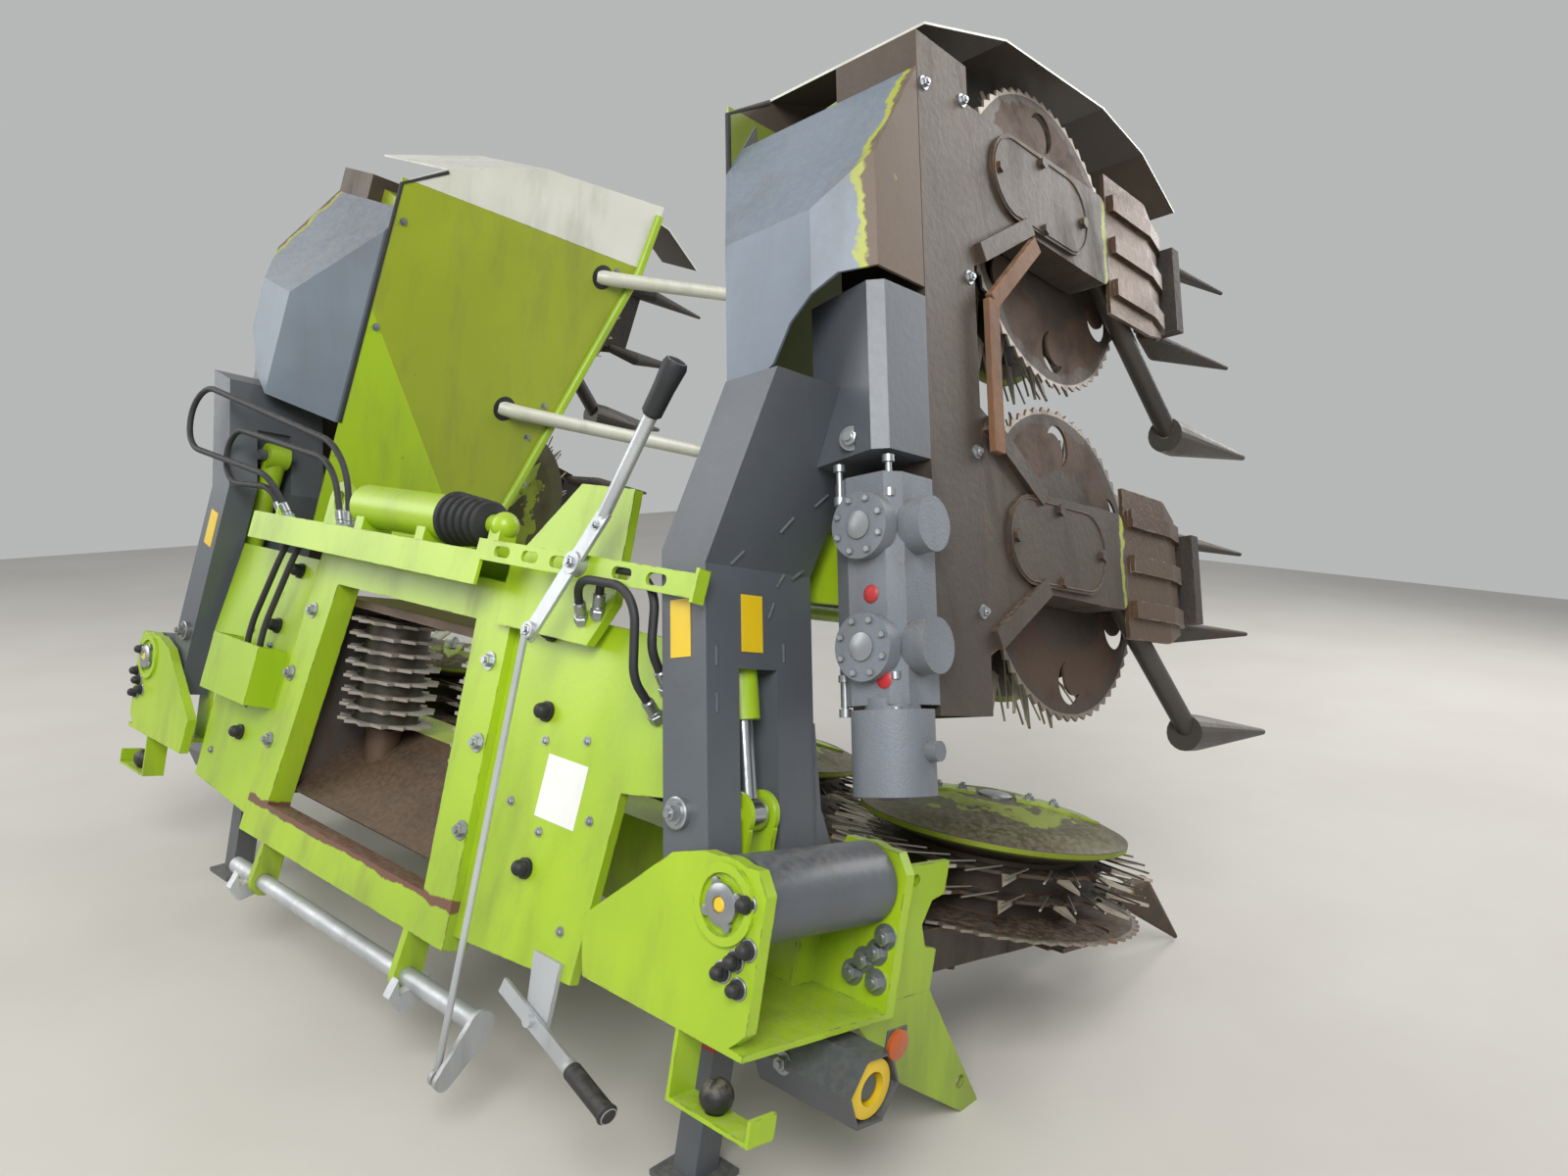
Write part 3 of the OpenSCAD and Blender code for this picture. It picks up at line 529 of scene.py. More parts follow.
@dataclass(frozen=True)
class Finish:
    """A surface with its colour, wear, grime, dust and relief.

    The shares run from 0 to 1, the depth of the relief is in metres and the scales are in
    waves a metre.
    """

    name: str
    slot: str
    colour: str
    shade: str
    grime: str = "#5d5244"
    grimy: float = 0.35
    bare: str = "#4a3a2e"
    chipped: float = 0.35
    dusty: float = 0.3
    roughness: float = 0.42
    metallic: float = 0.0
    coat: float = 0.0
    streaks: Place = (1.0, 1.0, 0.15)
    grain: float = 70.0
    depth: float = 0.0006
    zones: tuple[Zone, ...] = ()

    def material(self) -> bpy.types.Material:
        """Writes the shader tree.

        Returns:
            The material.
        """
        sheet = Sheet(self.name)
        clouds = sheet.noise(WEATHER.cloud_waves, 3.0).ramp(*WEATHER.clouds)
        speckle = sheet.noise(self.grain, 5.0)
        runs = sheet.noise(WEATHER.run_waves, 6.0, self.streaks)
        colour = sheet.tint(clouds, self.colour, self.shade)
        roughness: Socket | float = self.roughness + (speckle - 0.5) * WEATHER.speckled
        metallic: Socket | float = self.metallic
        for zone in self.zones:
            mask = zone.mask(sheet)
            colour = sheet.tint(mask, colour, zone.colour)
            roughness = roughness + (zone.roughness - self.roughness) * mask
            if self.metallic:
                metallic = (1 - mask) * self.metallic
        low = 1 - sheet.along(UPWARDS, Vector()).ramp(*WEATHER.splashed)
        splashes = low * runs.ramp(*WEATHER.low_runs) * self.grimy
        grime = (runs.ramp(*WEATHER.runs) * self.grimy + splashes).least(WEATHER.most_grime)
        colour = sheet.tint(grime, colour, self.grime)
        if self.dusty:
            level = sheet.dot(sheet.normal, tuple(UPWARDS)).ramp(*WEATHER.dusty_tilt)
            settled = level * speckle.ramp(*WEATHER.dusty_spots) * self.dusty
            colour = sheet.tint(settled, colour, WEATHER.dust)
            roughness = roughness + settled * WEATHER.dulled_by_dust
        if self.chipped:
            worn = self.worn(sheet)
            colour = sheet.tint(worn, colour, self.bare)
            roughness = roughness + worn * WEATHER.dulled_by_wear
        roughness = (roughness + grime * WEATHER.dulled_by_grime).least(WEATHER.roughest)
        relief = speckle + runs * 0.6
        return sheet.close(colour, roughness, metallic, self.coat, relief, self.depth)

    def worn(self, sheet: Sheet) -> Socket:
        """Where the paint is off: flakes along the edges and a few chips on the faces.

        Args:
            sheet: the material's tree.

        Returns:
            The mask.
        """
        flakes = sheet.noise(WEATHER.flake_waves, 7.0).ramp(*WEATHER.flakes)
        chips = sheet.noise(WEATHER.chip_waves, 8.0).ramp(*WEATHER.chips) * 0.8
        edges = sheet.edges(WEATHER.edge_radius) * flakes * 1.3
        return (edges.most(chips) * self.chipped * 2.0).least(1.0)


LIME = Finish(
    "lime paint", "lime_paint", "#a0bf1a", "#93b31b", grimy=0.3, chipped=0.34, coat=0.3, dusty=0.15
)
LIME_WORN = Finish(
    "worn lime paint", "lime_paint", "#9fbb22", "#7f9426", grimy=0.55, chipped=0.6, coat=0.15, dusty=0.4
)
CARRIER = Finish(
    "slate carrier paint", "dark_paint", "#565b61", "#4c5157", grimy=0.25, chipped=0.16, coat=0.2, dusty=0.2
)
BEAM = Finish(
    "crop-worn beam paint", "crop_worn_paint", "#4a433c", "#574c42", grime="#3b3027", grimy=0.6,
    bare="#75502f", chipped=0.5, roughness=0.5, metallic=0.35, depth=0.0012,
)
ARM = Finish(
    "crop-worn arm paint", "crop_worn_paint", "#4f463d", "#423a33", grime="#352b23", grimy=0.6,
    bare="#7c5636", chipped=0.5, roughness=0.48, metallic=0.35, depth=0.0012,
)
SHOE = Finish(
    "worn shoe steel", "wear_steel", "#62503f", "#513f32", grime="#3f3127", grimy=0.5, bare="#93887a",
    chipped=0.8, roughness=0.42, metallic=0.55, depth=0.0016, streaks=(1.0, 0.2, 1.0),
)
HOOD = Finish(
    "blue-grey hood paint", "grey_hood", "#6d7986", "#616c78", grimy=0.28, chipped=0.2, coat=0.2, dusty=0.2
)
HOOD_PALE = Finish(
    "pale hood paint", "grey_hood", "#727d88", "#66707b", grimy=0.3, chipped=0.18, coat=0.2, dusty=0.4
)
WHITE = Finish("white paint", "white_paint", "#dfdfd6", "#d0cfc3", grimy=0.3, chipped=0.12, coat=0.3)
CREAM = Finish("cream tube paint", "cream_paint", "#d3d3c6", "#c3c2b2", grimy=0.35, chipped=0.15, coat=0.2)
GALVANISED = Finish(
    "galvanised steel", "galvanised", "#c6c9cb", "#b0b4b7", grime="#6d675e", grimy=0.3, bare="#7c6a58",
    chipped=0.2, roughness=0.42, metallic=0.5, depth=0.0003, dusty=0.15,
)
ROD = Finish(
    "ground rod steel", "galvanised", "#c5c9cc", "#b4b8bc", grimy=0.1, chipped=0.0, roughness=0.22,
    metallic=0.95, depth=0.0001, dusty=0.0,
)
CAST = Finish(
    "cast housing paint", "cast_grey", "#757b82", "#666c73", grime="#5a544c", grimy=0.4, bare="#6b5a4a",
    chipped=0.3, roughness=0.5, metallic=0.15, depth=0.0014, grain=240.0,
)
COMB = Finish(
    "comb steel", "cast_grey", "#6f6a64", "#59534d", grime="#5c3f2c", grimy=0.6, bare="#8d6a4c",
    chipped=0.5, metallic=0.5, roughness=0.45, depth=0.001,
)
DARK = Finish(
    "dark guard paint", "dark_paint", "#4b4f54", "#44484d", grimy=0.16, chipped=0.06, dusty=0.1, coat=0.15
)
TIP = Finish(
    "rough tip casting", "dark_paint", "#3b3632", "#2c2926", grime="#5f4a39", grimy=0.6, bare="#6e5745",
    chipped=0.5, roughness=0.62, depth=0.003, metallic=0.2,
)
STRUT = Finish(
    "worn strut paint", "dark_paint", "#4b4742", "#3d3a37", grime="#5b4a3b", grimy=0.5, bare="#8c8f3a",
    chipped=0.45, roughness=0.45, metallic=0.3, depth=0.001,
)
RUST = Finish(
    "rusty wear bar", "wear_steel", "#7d5a3f", "#665040", grime="#4c3629", grimy=0.5, bare="#b9713a",
    chipped=0.7, roughness=0.62, metallic=0.25, depth=0.0015,
)
RUBBER = Finish(
    "black rubber", "dark_paint", "#1d1e20", "#232427", grimy=0.08, chipped=0.0, dusty=0.1,
    roughness=0.6, depth=0.0004,
)
SILVER = Finish(
    "plated bolt steel", "galvanised", "#a9adb0", "#94989b", grime="#5f574c", grimy=0.3, chipped=0.0,
    roughness=0.35, metallic=0.85, depth=0.0002,
)
YELLOW = Finish(
    "yellow plate", "lime_paint", "#e0bf1c", "#d6b41a", grimy=0.12, chipped=0.0, dusty=0.05, coat=0.3
)
FLOOR = Finish(
    "worn floor steel", "crop_worn_paint", "#65503f", "#534236", grime="#3d3027", grimy=0.6, bare="#8a6a4f",
    chipped=0.5, roughness=0.5, metallic=0.4, depth=0.0008, dusty=0.1, streaks=(0.2, 1.0, 1.0),
)
PAPER = Finish(
    "white sheet", "white_paint", "#e2e3de", "#d9dad4", grimy=0.12, chipped=0.0, dusty=0.1, depth=0.0002
)
RED = Finish("red mark", "dark_paint", "#b3262b", "#8f1f24", grimy=0.2, chipped=0.2, dusty=0.1)
ORANGE = Finish(
    "orange reflector", "dark_paint", "#bd560e", "#a94b0c", grimy=0.15, chipped=0.0, coat=0.3, dusty=0.05,
    roughness=0.2, grain=900.0, depth=0.0004,
)
STEEL_TINE = Finish(
    "polished tine steel", "rotor_steel", "#b9b4aa", "#a39b8f", grimy=0.2, chipped=0.0, roughness=0.3,
    metallic=0.9, depth=0.0002, dusty=0.0,
)


# The rotors


class RotorPlace(Enum):
    """The four rotors of a side, by their distance from the middle in rows."""

    CENTRE = 0.5
    MID = 1.5
    WING = 2.5
    TIP = 3.5

    @property
    def on_wing(self) -> bool:
        """Whether the rotor folds up with the wing."""
        return self in (RotorPlace.WING, RotorPlace.TIP)


@dataclass(frozen=True)
class Rotor:
    """One of the eight gathering rotors, which carries trim and has a finish of its own."""

    side: Side
    place: RotorPlace
    row_pitch: float = 0.750
    dome: tuple[float, float] = (0.0, 0.290)
    dome_paint: tuple[float, float] = (0.10, 0.175)
    dome_rim: tuple[float, float] = (0.288, 0.31)
    teeth: tuple[float, float] = (0.335, 0.4)
    disc: tuple[float, float] = (0.2, 0.31)
    disc_heights: tuple[float, float] = (0.09, 0.11)
    tines: tuple[float, float] = (0.275, 0.4)
    tine_heights: tuple[float, float] = (0.14, 0.23)

    @property
    def ending(self) -> str:
        """What the names of its node, its body and its trim end in."""
        return f"_{self.place.name.lower()}_{self.side.word}"

    @property
    def node(self) -> str:
        """Name of its CAD node and of its body."""
        return f"rotor{self.ending}"

    @property
    def frame(self) -> Matrix:
        """Frame whose Z is the rotor's axis, zero under its arm."""
        base = FRAMES.folded(self.side) if self.place.on_wing else FRAMES.parked(self.side)
        return base @ Matrix.Translation((self.row_pitch * self.place.value, 0, 0))

    def finish(self) -> Finish:
        """Rusty disc, bright teeth, dark drum and lime dome.

        Returns:
            The finish, whose zones are rings about the rotor's axis.
        """
        about = {"axis": aimed(self.frame, UPWARDS), "origin": self.frame.to_translation()}
        return Finish(
            f"{self.node} steel", "rotor_steel", "#51483f", "#433b34", grime="#352c24", grimy=0.6,
            bare="#83593a", chipped=0.5, roughness=0.46, metallic=0.5, depth=0.001, streaks=(1.0, 1.0, 1.0),
            zones=(
                Ring("#4b4a2b", 0.5, **about, radii=self.dome, heights=(0.262, 0.35), uneven=0.03),
                Ring("#84942a", 0.5, **about, radii=self.dome_paint, heights=(0.255, 0.35), uneven=0.34),
                Ring("#7c8b28", 0.5, **about, radii=self.dome_rim, heights=(0.25, 0.272), uneven=0.02),
                Ring("#8d8378", 0.35, **about, radii=self.teeth, heights=self.disc_heights, uneven=0.008),
                Ring("#57463a", 0.6, **about, radii=self.disc, heights=self.disc_heights, uneven=0.1),
                Ring("#b0a898", 0.3, **about, radii=self.tines, heights=self.tine_heights, uneven=0.02),
            ),
        )


ROTORS = tuple(Rotor(side, place) for side in Side for place in RotorPlace)


# Meshes


def rectangle(low: tuple[float, float], high: tuple[float, float]) -> Outline:
    """Outline of an upright rectangle between two corners."""
    return (low, (high[0], low[1]), high, (low[0], high[1]))


def circle(radius: float, count: int, first: float = 0.0) -> Outline:
    """Points spread evenly over a circle.

    Args:
        radius: the circle's radius.
        count: how many points.
        first: angle of the first one in degrees.

    Returns:
        Both measures of each point from the centre.
    """
    turns = [math.radians(360 / count * k + first) for k in range(count)]
    return [(radius * math.cos(turn), radius * math.sin(turn)) for turn in turns]


def rounded_line(points: list[Vector], bends: list[float], steps: int) -> list[Vector]:
    """Straight runs joined by arcs.

    Args:
        points: the two ends and the corners between them.
        bends: radius of the arc at each corner.
        steps: parts of each arc.

    Returns:
        The points of the line.
    """
    line = [points[0].copy()]
    for before, corner, after, bend in zip(points, points[1:], points[2:], bends):
        back, ahead = (before - corner).normalized(), (after - corner).normalized()
        turn = math.pi - back.angle(ahead)
        middle = corner + (back + ahead).normalized() * bend / math.cos(turn / 2)
        spoke = corner + back * bend * math.tan(turn / 2) - middle
        for k in range(steps + 1):
            angle = turn * k / steps
            line.append(middle + spoke * math.cos(angle) - back * bend * math.sin(angle))
    return [*line, points[-1].copy()]


class Form:
    """A mesh that is drawn in one of the header's frames and becomes one piece."""

    sharp_angle = 32.0

    def __init__(self, place: Matrix, body: str = HEADER_BODY, ending: str = "") -> None:
        """Starts an empty mesh.

        Args:
            place: the frame that it is drawn in.
            body: the CAD body that the piece moves with.
            ending: what the piece's name ends in.
        """
        self.place = place
        self.body = body
        self.ending = ending
        self.mesh = bmesh.new()

    def skin(self, rings: Sequence[Sequence[Vector]]) -> None:
        """Joins rings of points by quads and closes both ends.

        Args:
            rings: the rings in order, with as many points each.
        """
        rows = [[self.mesh.verts.new(p) for p in ring] for ring in rings]
        for low, high in zip(rows, rows[1:]):
            for k in range(len(low)):
                n = (k + 1) % len(low)
                self.mesh.faces.new((low[k], low[n], high[n], high[k]))
        self.mesh.faces.new(list(reversed(rows[0])))
        self.mesh.faces.new(rows[-1])

    def turned(self, base: Sequence[float], axis: Vector, profile: Outline, steps: int = 24) -> None:
        """Adds a turned solid.

        Args:
            base: point on the axis where heights start.
            axis: direction of the axis.
            profile: radius and height of each ring.
            steps: points round the axis.
        """
        up = axis.normalized()
        across = up.orthogonal().normalized()
        third = up.cross(across)
        turns = [2 * math.pi * k / steps for k in range(steps)]
        self.skin(
            [
                [Vector(base) + up * h + (across * math.cos(a) + third * math.sin(a)) * r for a in turns]
                for r, h in profile
            ]
        )

    def prism(self, outline: Outline, low: float, high: float, plane: Plane) -> None:
        """Adds a straight push of an outline between two places."""
        self.skin([[plane.point(u, v, w) for u, v in outline] for w in (low, high)])

    def tube(self, route: Sequence[Sequence[float]], radius: float, steps: int = 12) -> None:
        """Adds a round tube.

        Args:
            route: the points of its middle line.
            radius: its radius.
            steps: points round it.
        """
        points = [Vector(point) for point in route]
        turns = [2 * math.pi * s / steps for s in range(steps)]
        across = (points[1] - points[0]).orthogonal().normalized()
        rings = []
        for k, point in enumerate(points):
            ahead = (points[min(k + 1, len(points) - 1)] - points[max(k - 1, 0)]).normalized()
            across = (across - ahead * across.dot(ahead)).normalized()
            third = ahead.cross(across)
            rings.append([point + (across * math.cos(a) + third * math.sin(a)) * radius for a in turns])
        self.skin(rings)

    def bolt(self, base: Sequence[float], axis: Vector, size: float) -> None:
        """Adds a hexagon bolt's washer, head and thread end.

        Args:
            base: where the washer sits.
            axis: direction that the bolt points in.
            size: width of its head.
        """
        top = size * 0.62
        washer = [(size * 0.85, 0.0), (size * 0.85, size * 0.14)]
        head = [(size * 0.57, size * 0.1), (size * 0.57, top - 0.001), (size * 0.5, top)]
        thread = [(size * 0.3, top - 0.002), (size * 0.3, top + size * 0.22)]
        self.turned(base, axis, washer, 20)
        self.turned(base, axis, head, 6)
        self.turned(base, axis, thread, 14)

    def capped(self, base: Sequence[float], axis: Vector, size: float) -> None:
        """Adds a round cap over a bolt, on its washer.

        Args:
            base: where the washer sits.
            axis: direction that the cap points in.
            size: width that the cap covers.
        """
        profile = [(size * 0.8, 0.0), (size * 0.8, size * 0.3), (size * 0.62, size * 0.34)]
        for k in range(6):
            turn = math.radians(15 * (k + 0.5))
            profile.append((size * 0.62 * math.cos(turn), size * 0.7 + size * 0.55 * math.sin(turn)))
        self.turned(base, axis, profile, 20)

    def piece(self, stem: str, finish: Finish, soften: float = 0.0) -> bpy.types.Object:
        """Makes the object and lets it ride.

        Args:
            stem: the object's name without the ending.
            finish: its finish.
            soften: width of its rounded edges in metres.

        Returns:
            The object.
        """
        name = stem + self.ending
        bmesh.ops.transform(self.mesh, matrix=self.place, verts=self.mesh.verts)
        bmesh.ops.recalc_face_normals(self.mesh, faces=self.mesh.faces)
        data = bpy.data.meshes.new(name)
        self.mesh.to_mesh(data)
        self.mesh.free()
        data.shade_smooth()
        data.set_sharp_from_angle(angle=math.radians(self.sharp_angle))
        data.materials.append(PALETTE.material(finish))
        made = bpy.data.objects.new(name, data)
        bpy.context.scene.collection.objects.link(made)
        if soften:
            edge = made.modifiers.new("soft edges", "BEVEL")
            edge.width = soften
            edge.segments = 2
            edge.limit_method = "ANGLE"
            edge.harden_normals = False
        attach(made, self.body)
        log.info("piece %s rides on %s", name, self.body)
        return made


class Palette:
    """Materials that are already made, by the name of their finish."""

    def __init__(self) -> None:
        """Starts with none."""
        self.made: dict[str, bpy.types.Material] = {}

    def material(self, finish: Finish) -> bpy.types.Material:
        """Material of a finish, written once.

        Args:
            finish: the finish.

        Returns:
            Its material.
        """
        if finish.name not in self.made:
            self.made[finish.name] = finish.material()
        return self.made[finish.name]


PALETTE = Palette()


# The header's own parts


@dataclass(frozen=True)
class CadDress:
    """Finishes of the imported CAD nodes, with the places that their zones follow."""

    bellows: tuple[float, float] = (0.148, 0.268)
    ball: Place = (1.250, -0.930, -0.099)
    ball_radius: float = 0.031
    sill: Place = (0, 0, -0.03)
    drum: Place = (0.262, -0.725, 0)
    blade_radii: tuple[float, float] = (0.088, 0.14)
    blade_heights: tuple[float, float] = (0.1, 0.6)
    rotor_side: Place = (2.450, 0, 0.1)
    hood_inside: Place = (2.4, -0.60, 0.22)
    # Painted light: the cover past a line through this point, in the direction below, is painted brighter
    # lime as the lit facet of its bend.
    painted_lit_corner: Place = (2.468, -0.712, 0.445)
    towards_painted_lit_corner: Place = (-0.604, -0.797, 0)

    def damper(self) -> Finish:
        """Lime cylinder with its rubber bellows."""
        zone = Slab("#1d1e20", 0.6, RIGHTWARDS, FRAMES.leaned().to_translation(), *self.bellows)
        return replace(LIME, name="damper paint", grimy=0.2, chipped=0.35, dusty=0.3, zones=(zone,))

    def catches(self) -> Finish:
        """Lime angles with their rubber balls.

        Returns:
            The finish.
        """
        places = (FRAMES.parked(side) @ Vector(self.ball) for side in Side)
        balls = tuple(Ball("#1b1c1e", 0.5, place, self.ball_radius) for place in places)
        return replace(LIME, name="catch paint", chipped=0.35, dusty=0.3, coat=0.0, zones=balls)

    def mounting(self) -> Finish:
        """Lime frame with a bare, rusty sill where the crop slides over it.

        Returns:
            The finish.
        """
        matrix = FRAMES.leaned()
        place = matrix @ Vector(self.sill)
        sill = Slab("#6b4632", 0.7, aimed(matrix, UPWARDS), place, -0.012, 0.004, 0.004, 0.03)
        return replace(LIME, name="frame paint", grimy=0.38, chipped=0.55, dusty=0.3, zones=(sill,))

    def intake_drum(self, side: Side) -> Finish:
        """Dark intake drum with the bright blades that the crop polishes.

        Args:
            side: the drum's side.

        Returns:
            The finish.
        """
        matrix = FRAMES.parked(side)
        axis, place = aimed(matrix, UPWARDS), matrix @ Vector(self.drum)
        blades = Ring("#938e87", 0.32, axis, place, self.blade_radii, self.blade_heights)
        return Finish(
            f"intake drum steel {side.word}", "cast_grey", "#4d4740", "#3f3a35", grime="#4f5a20", grimy=0.6,
            bare="#8d6a4c", chipped=0.4, metallic=0.5, roughness=0.42, depth=0.001, zones=(blades,),
        )

    def gear_arms(self, side: Side) -> Finish:
        """Wing arms with the slate strip in front of their shoes and its lime scrapes.

        Args:
            side: the wing's side.

        Returns:
            The finish.
        """
        matrix = FRAMES.folded(side)
        ahead, start = aimed(matrix, FORWARDS), matrix.to_translation()
        strip = Slab("#4d5358", 0.45, ahead, start, 0.078, 0.2, 0.002)
        scrapes = Slab("#a3a839", 0.5, ahead, start, 0.086, 0.096, 0.004, 0.06)
        return replace(ARM, name=f"wing arm paint {side.word}", zones=(strip, scrapes))

    def hood(self, side: Side) -> Finish:
        """Grey hood with its worn lower edge and its inside painted a darker grey.

        Args:
            side: the wing's side.

        Returns:
            The finish.
        """
        matrix = FRAMES.folded(side)
        up, start = aimed(matrix, UPWARDS), matrix.to_translation()
        zones = (
            Slab("#99a02c", 0.5, up, start, -0.05, 0.026, 0.006, 0.07),
            Slab("#5d4c3c", 0.6, up, start, -0.05, 0.012, 0.006, 0.07),
            # Faces of the hood that look towards its inside are painted a darker grey.
            Lining("#57585a", 0.7, matrix @ Vector(self.hood_inside)),
        )
        paint = HOOD if side is Side.RIGHT else HOOD_PALE
        return replace(paint, name=f"hood paint {side.word}", zones=zones)

    def cover(self, side: Side) -> Finish:
        """Lime cover painted darker olive as the facet in shade, with a painted lit facet in brighter lime
        past its bent corner, and a darker face towards the rotors.

        Args:
            side: the wing's side.

        Returns:
            The finish.
        """
        matrix = FRAMES.folded(side)
        towards = matrix.to_3x3() @ Vector(self.towards_painted_lit_corner)
        # Painted light: the corner past this line is painted in brighter lime as the lit facet of the bend.
        corner = Slab(LIME.colour, 0.42, towards, matrix @ Vector(self.painted_lit_corner))
        # Faces of the cover that look towards the rotors are painted a darker olive.
        inside = Lining("#6a7626", 0.6, matrix @ Vector(self.rotor_side))
        # Painted shade: the rest of the cover is painted a darker olive than the lime paint, as the facet
        # in shade.
        return replace(
            LIME, name=f"cover paint {side.word}", colour="#9aa820", shade="#919f1f", zones=(corner, inside)
        )

    def strip(self, side: Side) -> Finish:
        """White outer strip with its face towards the rotors painted dark brown."""
        # Faces of the strip that look towards the rotors are painted dark brown.
        inside = Lining("#43392f", 0.7, FRAMES.folded(side) @ Vector(self.rotor_side))
        return replace(WHITE, name=f"strip paint {side.word}", zones=(inside,))

    def table(self) -> dict[str, Finish]:
        """Lists the finishes of the nodes that are alike on both sides.

        Returns:
            Finish of each CAD node by name; a pair has one entry without its side.
        """
        return {
            "centre_beam": LIME_WORN, "hinge_brackets": LIME, "mounting_frame": self.mounting(),
            "rear_panels": LIME, "stand_lugs": CARRIER, "top_rail": LIME, "frame_damper": self.damper(),
            "feed_housing": FLOOR, "stripper_combs": COMB, "ball_catches": self.catches(),
            "release_lever": GALVANISED, "valve_box": LIME, "centre_gear_arms": ARM, "centre_skids": SHOE,
            "centre_forks": TIP, "centre_noses": LIME_WORN, "centre_guides": CREAM, "front_stands": LIME,
            "drive_inputs": DARK, "latch_lever": GALVANISED, "latch_rod": GALVANISED,
            "latch_shaft": GALVANISED, "stand": CARRIER, "wing_beam": BEAM, "wing_carrier": CARRIER,
            "wing_gearbox": CAST, "wing_skids": SHOE, "wing_forks": TIP,
            "wing_noses": STRUT, "wing_guides": CREAM, "fold_barrel": LIME, "fold_rod": ROD,
        }

    def build(self) -> None:
        """Gives every CAD node its finish."""
        table = {**self.table(), **{rotor.node: rotor.finish() for rotor in ROTORS}}
        sided = {
            "wing_hood": self.hood, "wing_cover": self.cover, "wing_strip": self.strip,
            "wing_gear_arms": self.gear_arms, "intake_drum": self.intake_drum,
        }
        for side in Side:
            table.update({f"{stem}_{side.word}": finish(side) for stem, finish in sided.items()})
        for name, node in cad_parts.items():
            stem = name.removesuffix("_right").removesuffix("_left")
            finish = table.get(name) or table.get(stem)
            if finish is None:
                raise KeyError(f"no finish for the node {name}")
            material = PALETTE.material(finish)
            if not node.material_slots:
                node.data.materials.append(material)
            for slot in node.material_slots:
                slot.material = material
        log.info("%d CAD nodes have their finish", len(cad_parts))


@dataclass(frozen=True)
class RearFrameTrim:
    """Bolts, bellows and a blank sheet on the mounting frame and the rear panels."""

    back: float = -0.040
    frame_back: float = -0.06
    cap_size: float = 0.026
    cap_places: Outline = ((0.605, 0.403), (0.657, 0.100), (0.560, 0.560))
    frame_bolt_size: float = 0.024
    frame_bolts: Outline = ((0.43, 0.30), (0.45, 0.12), (0.40, 0.47))
    small_size: float = 0.012
    small_bolts: Outline = (
        (0.621, 0.347), (0.745, 0.372), (0.806, 0.231), (0.669, 0.175), (0.560, 0.210), (0.800, 0.020),
    )
    sheet_place: tuple[float, float] = (0.705, 0.264)
    sheet_half: float = 0.062
    sheet_thick: float = 0.0015
    bellows_start: Place = (0.150, -0.073, 0.757)
    bellows_length: float = 0.156
    bellows_radii: tuple[float, float] = (0.064, 0.050)
    neck_radii: tuple[float, float] = (0.030, 0.024)
    neck_length: float = 0.002
    bellows_folds: int = 6
    fold: Outline = ((0.05, 0.64), (0.25, 0.93), (0.5, 1.0), (0.75, 0.93), (0.95, 0.64))

    def bolts(self) -> None:
        """Capped bolts on both panels, and plain ones there and on the frame."""
        for side in Side:
            caps = Form(FRAMES.leaned(side), ending=f"_{side.word}")
            for x, z in self.cap_places:
                caps.capped((x, self.back, z), BACKWARDS, self.cap_size)
            caps.piece("panel_bolt_caps", RUBBER)
        small, plain = Form(FRAMES.leaned()), Form(FRAMES.leaned())
        for s in (-1, 1):
            for x, z in self.small_bolts:
                small.bolt((s * x, self.back, z), BACKWARDS, self.small_size)
        small.piece("panel_small_bolts", SILVER)
        for x, z in self.frame_bolts:
            for s in (-1, 1):
                plain.bolt((s * x, self.frame_back, z), BACKWARDS, self.frame_bolt_size)
        plain.piece("frame_bolts", SILVER)

    def sheet(self) -> None:
        """The blank white sheet on the right panel."""
        x, z = self.sheet_place
        half = self.sheet_half
        form = Form(FRAMES.leaned())
        corners = rectangle((x - half, z - half), (x + half, z + half))
        form.prism(corners, self.back - self.sheet_thick, self.back, Plane.XZ)
        form.piece("blank_white_sheet", PAPER)

    def bellows(self) -> None:
        """Folded rubber bellows over the damper's rod."""
        form = Form(FRAMES.leaned())
        outer, end = self.bellows_radii
        first_neck, last_neck = self.neck_radii
        profile = [(first_neck, -self.neck_length)]
        for k in range(self.bellows_folds):
            for share, reach in self.fold:
                t = (k + share) / self.bellows_folds
                profile.append(((outer + (end - outer) * t) * reach, t * self.bellows_length))
        profile.append((last_neck, self.bellows_length + self.neck_length))
        form.turned(self.bellows_start, RIGHTWARDS, profile, 32)
        form.piece("damper_bellows", RUBBER)

    def build(self) -> None:
        """Builds all of the trim."""
        self.bolts()
        self.sheet()
        self.bellows()


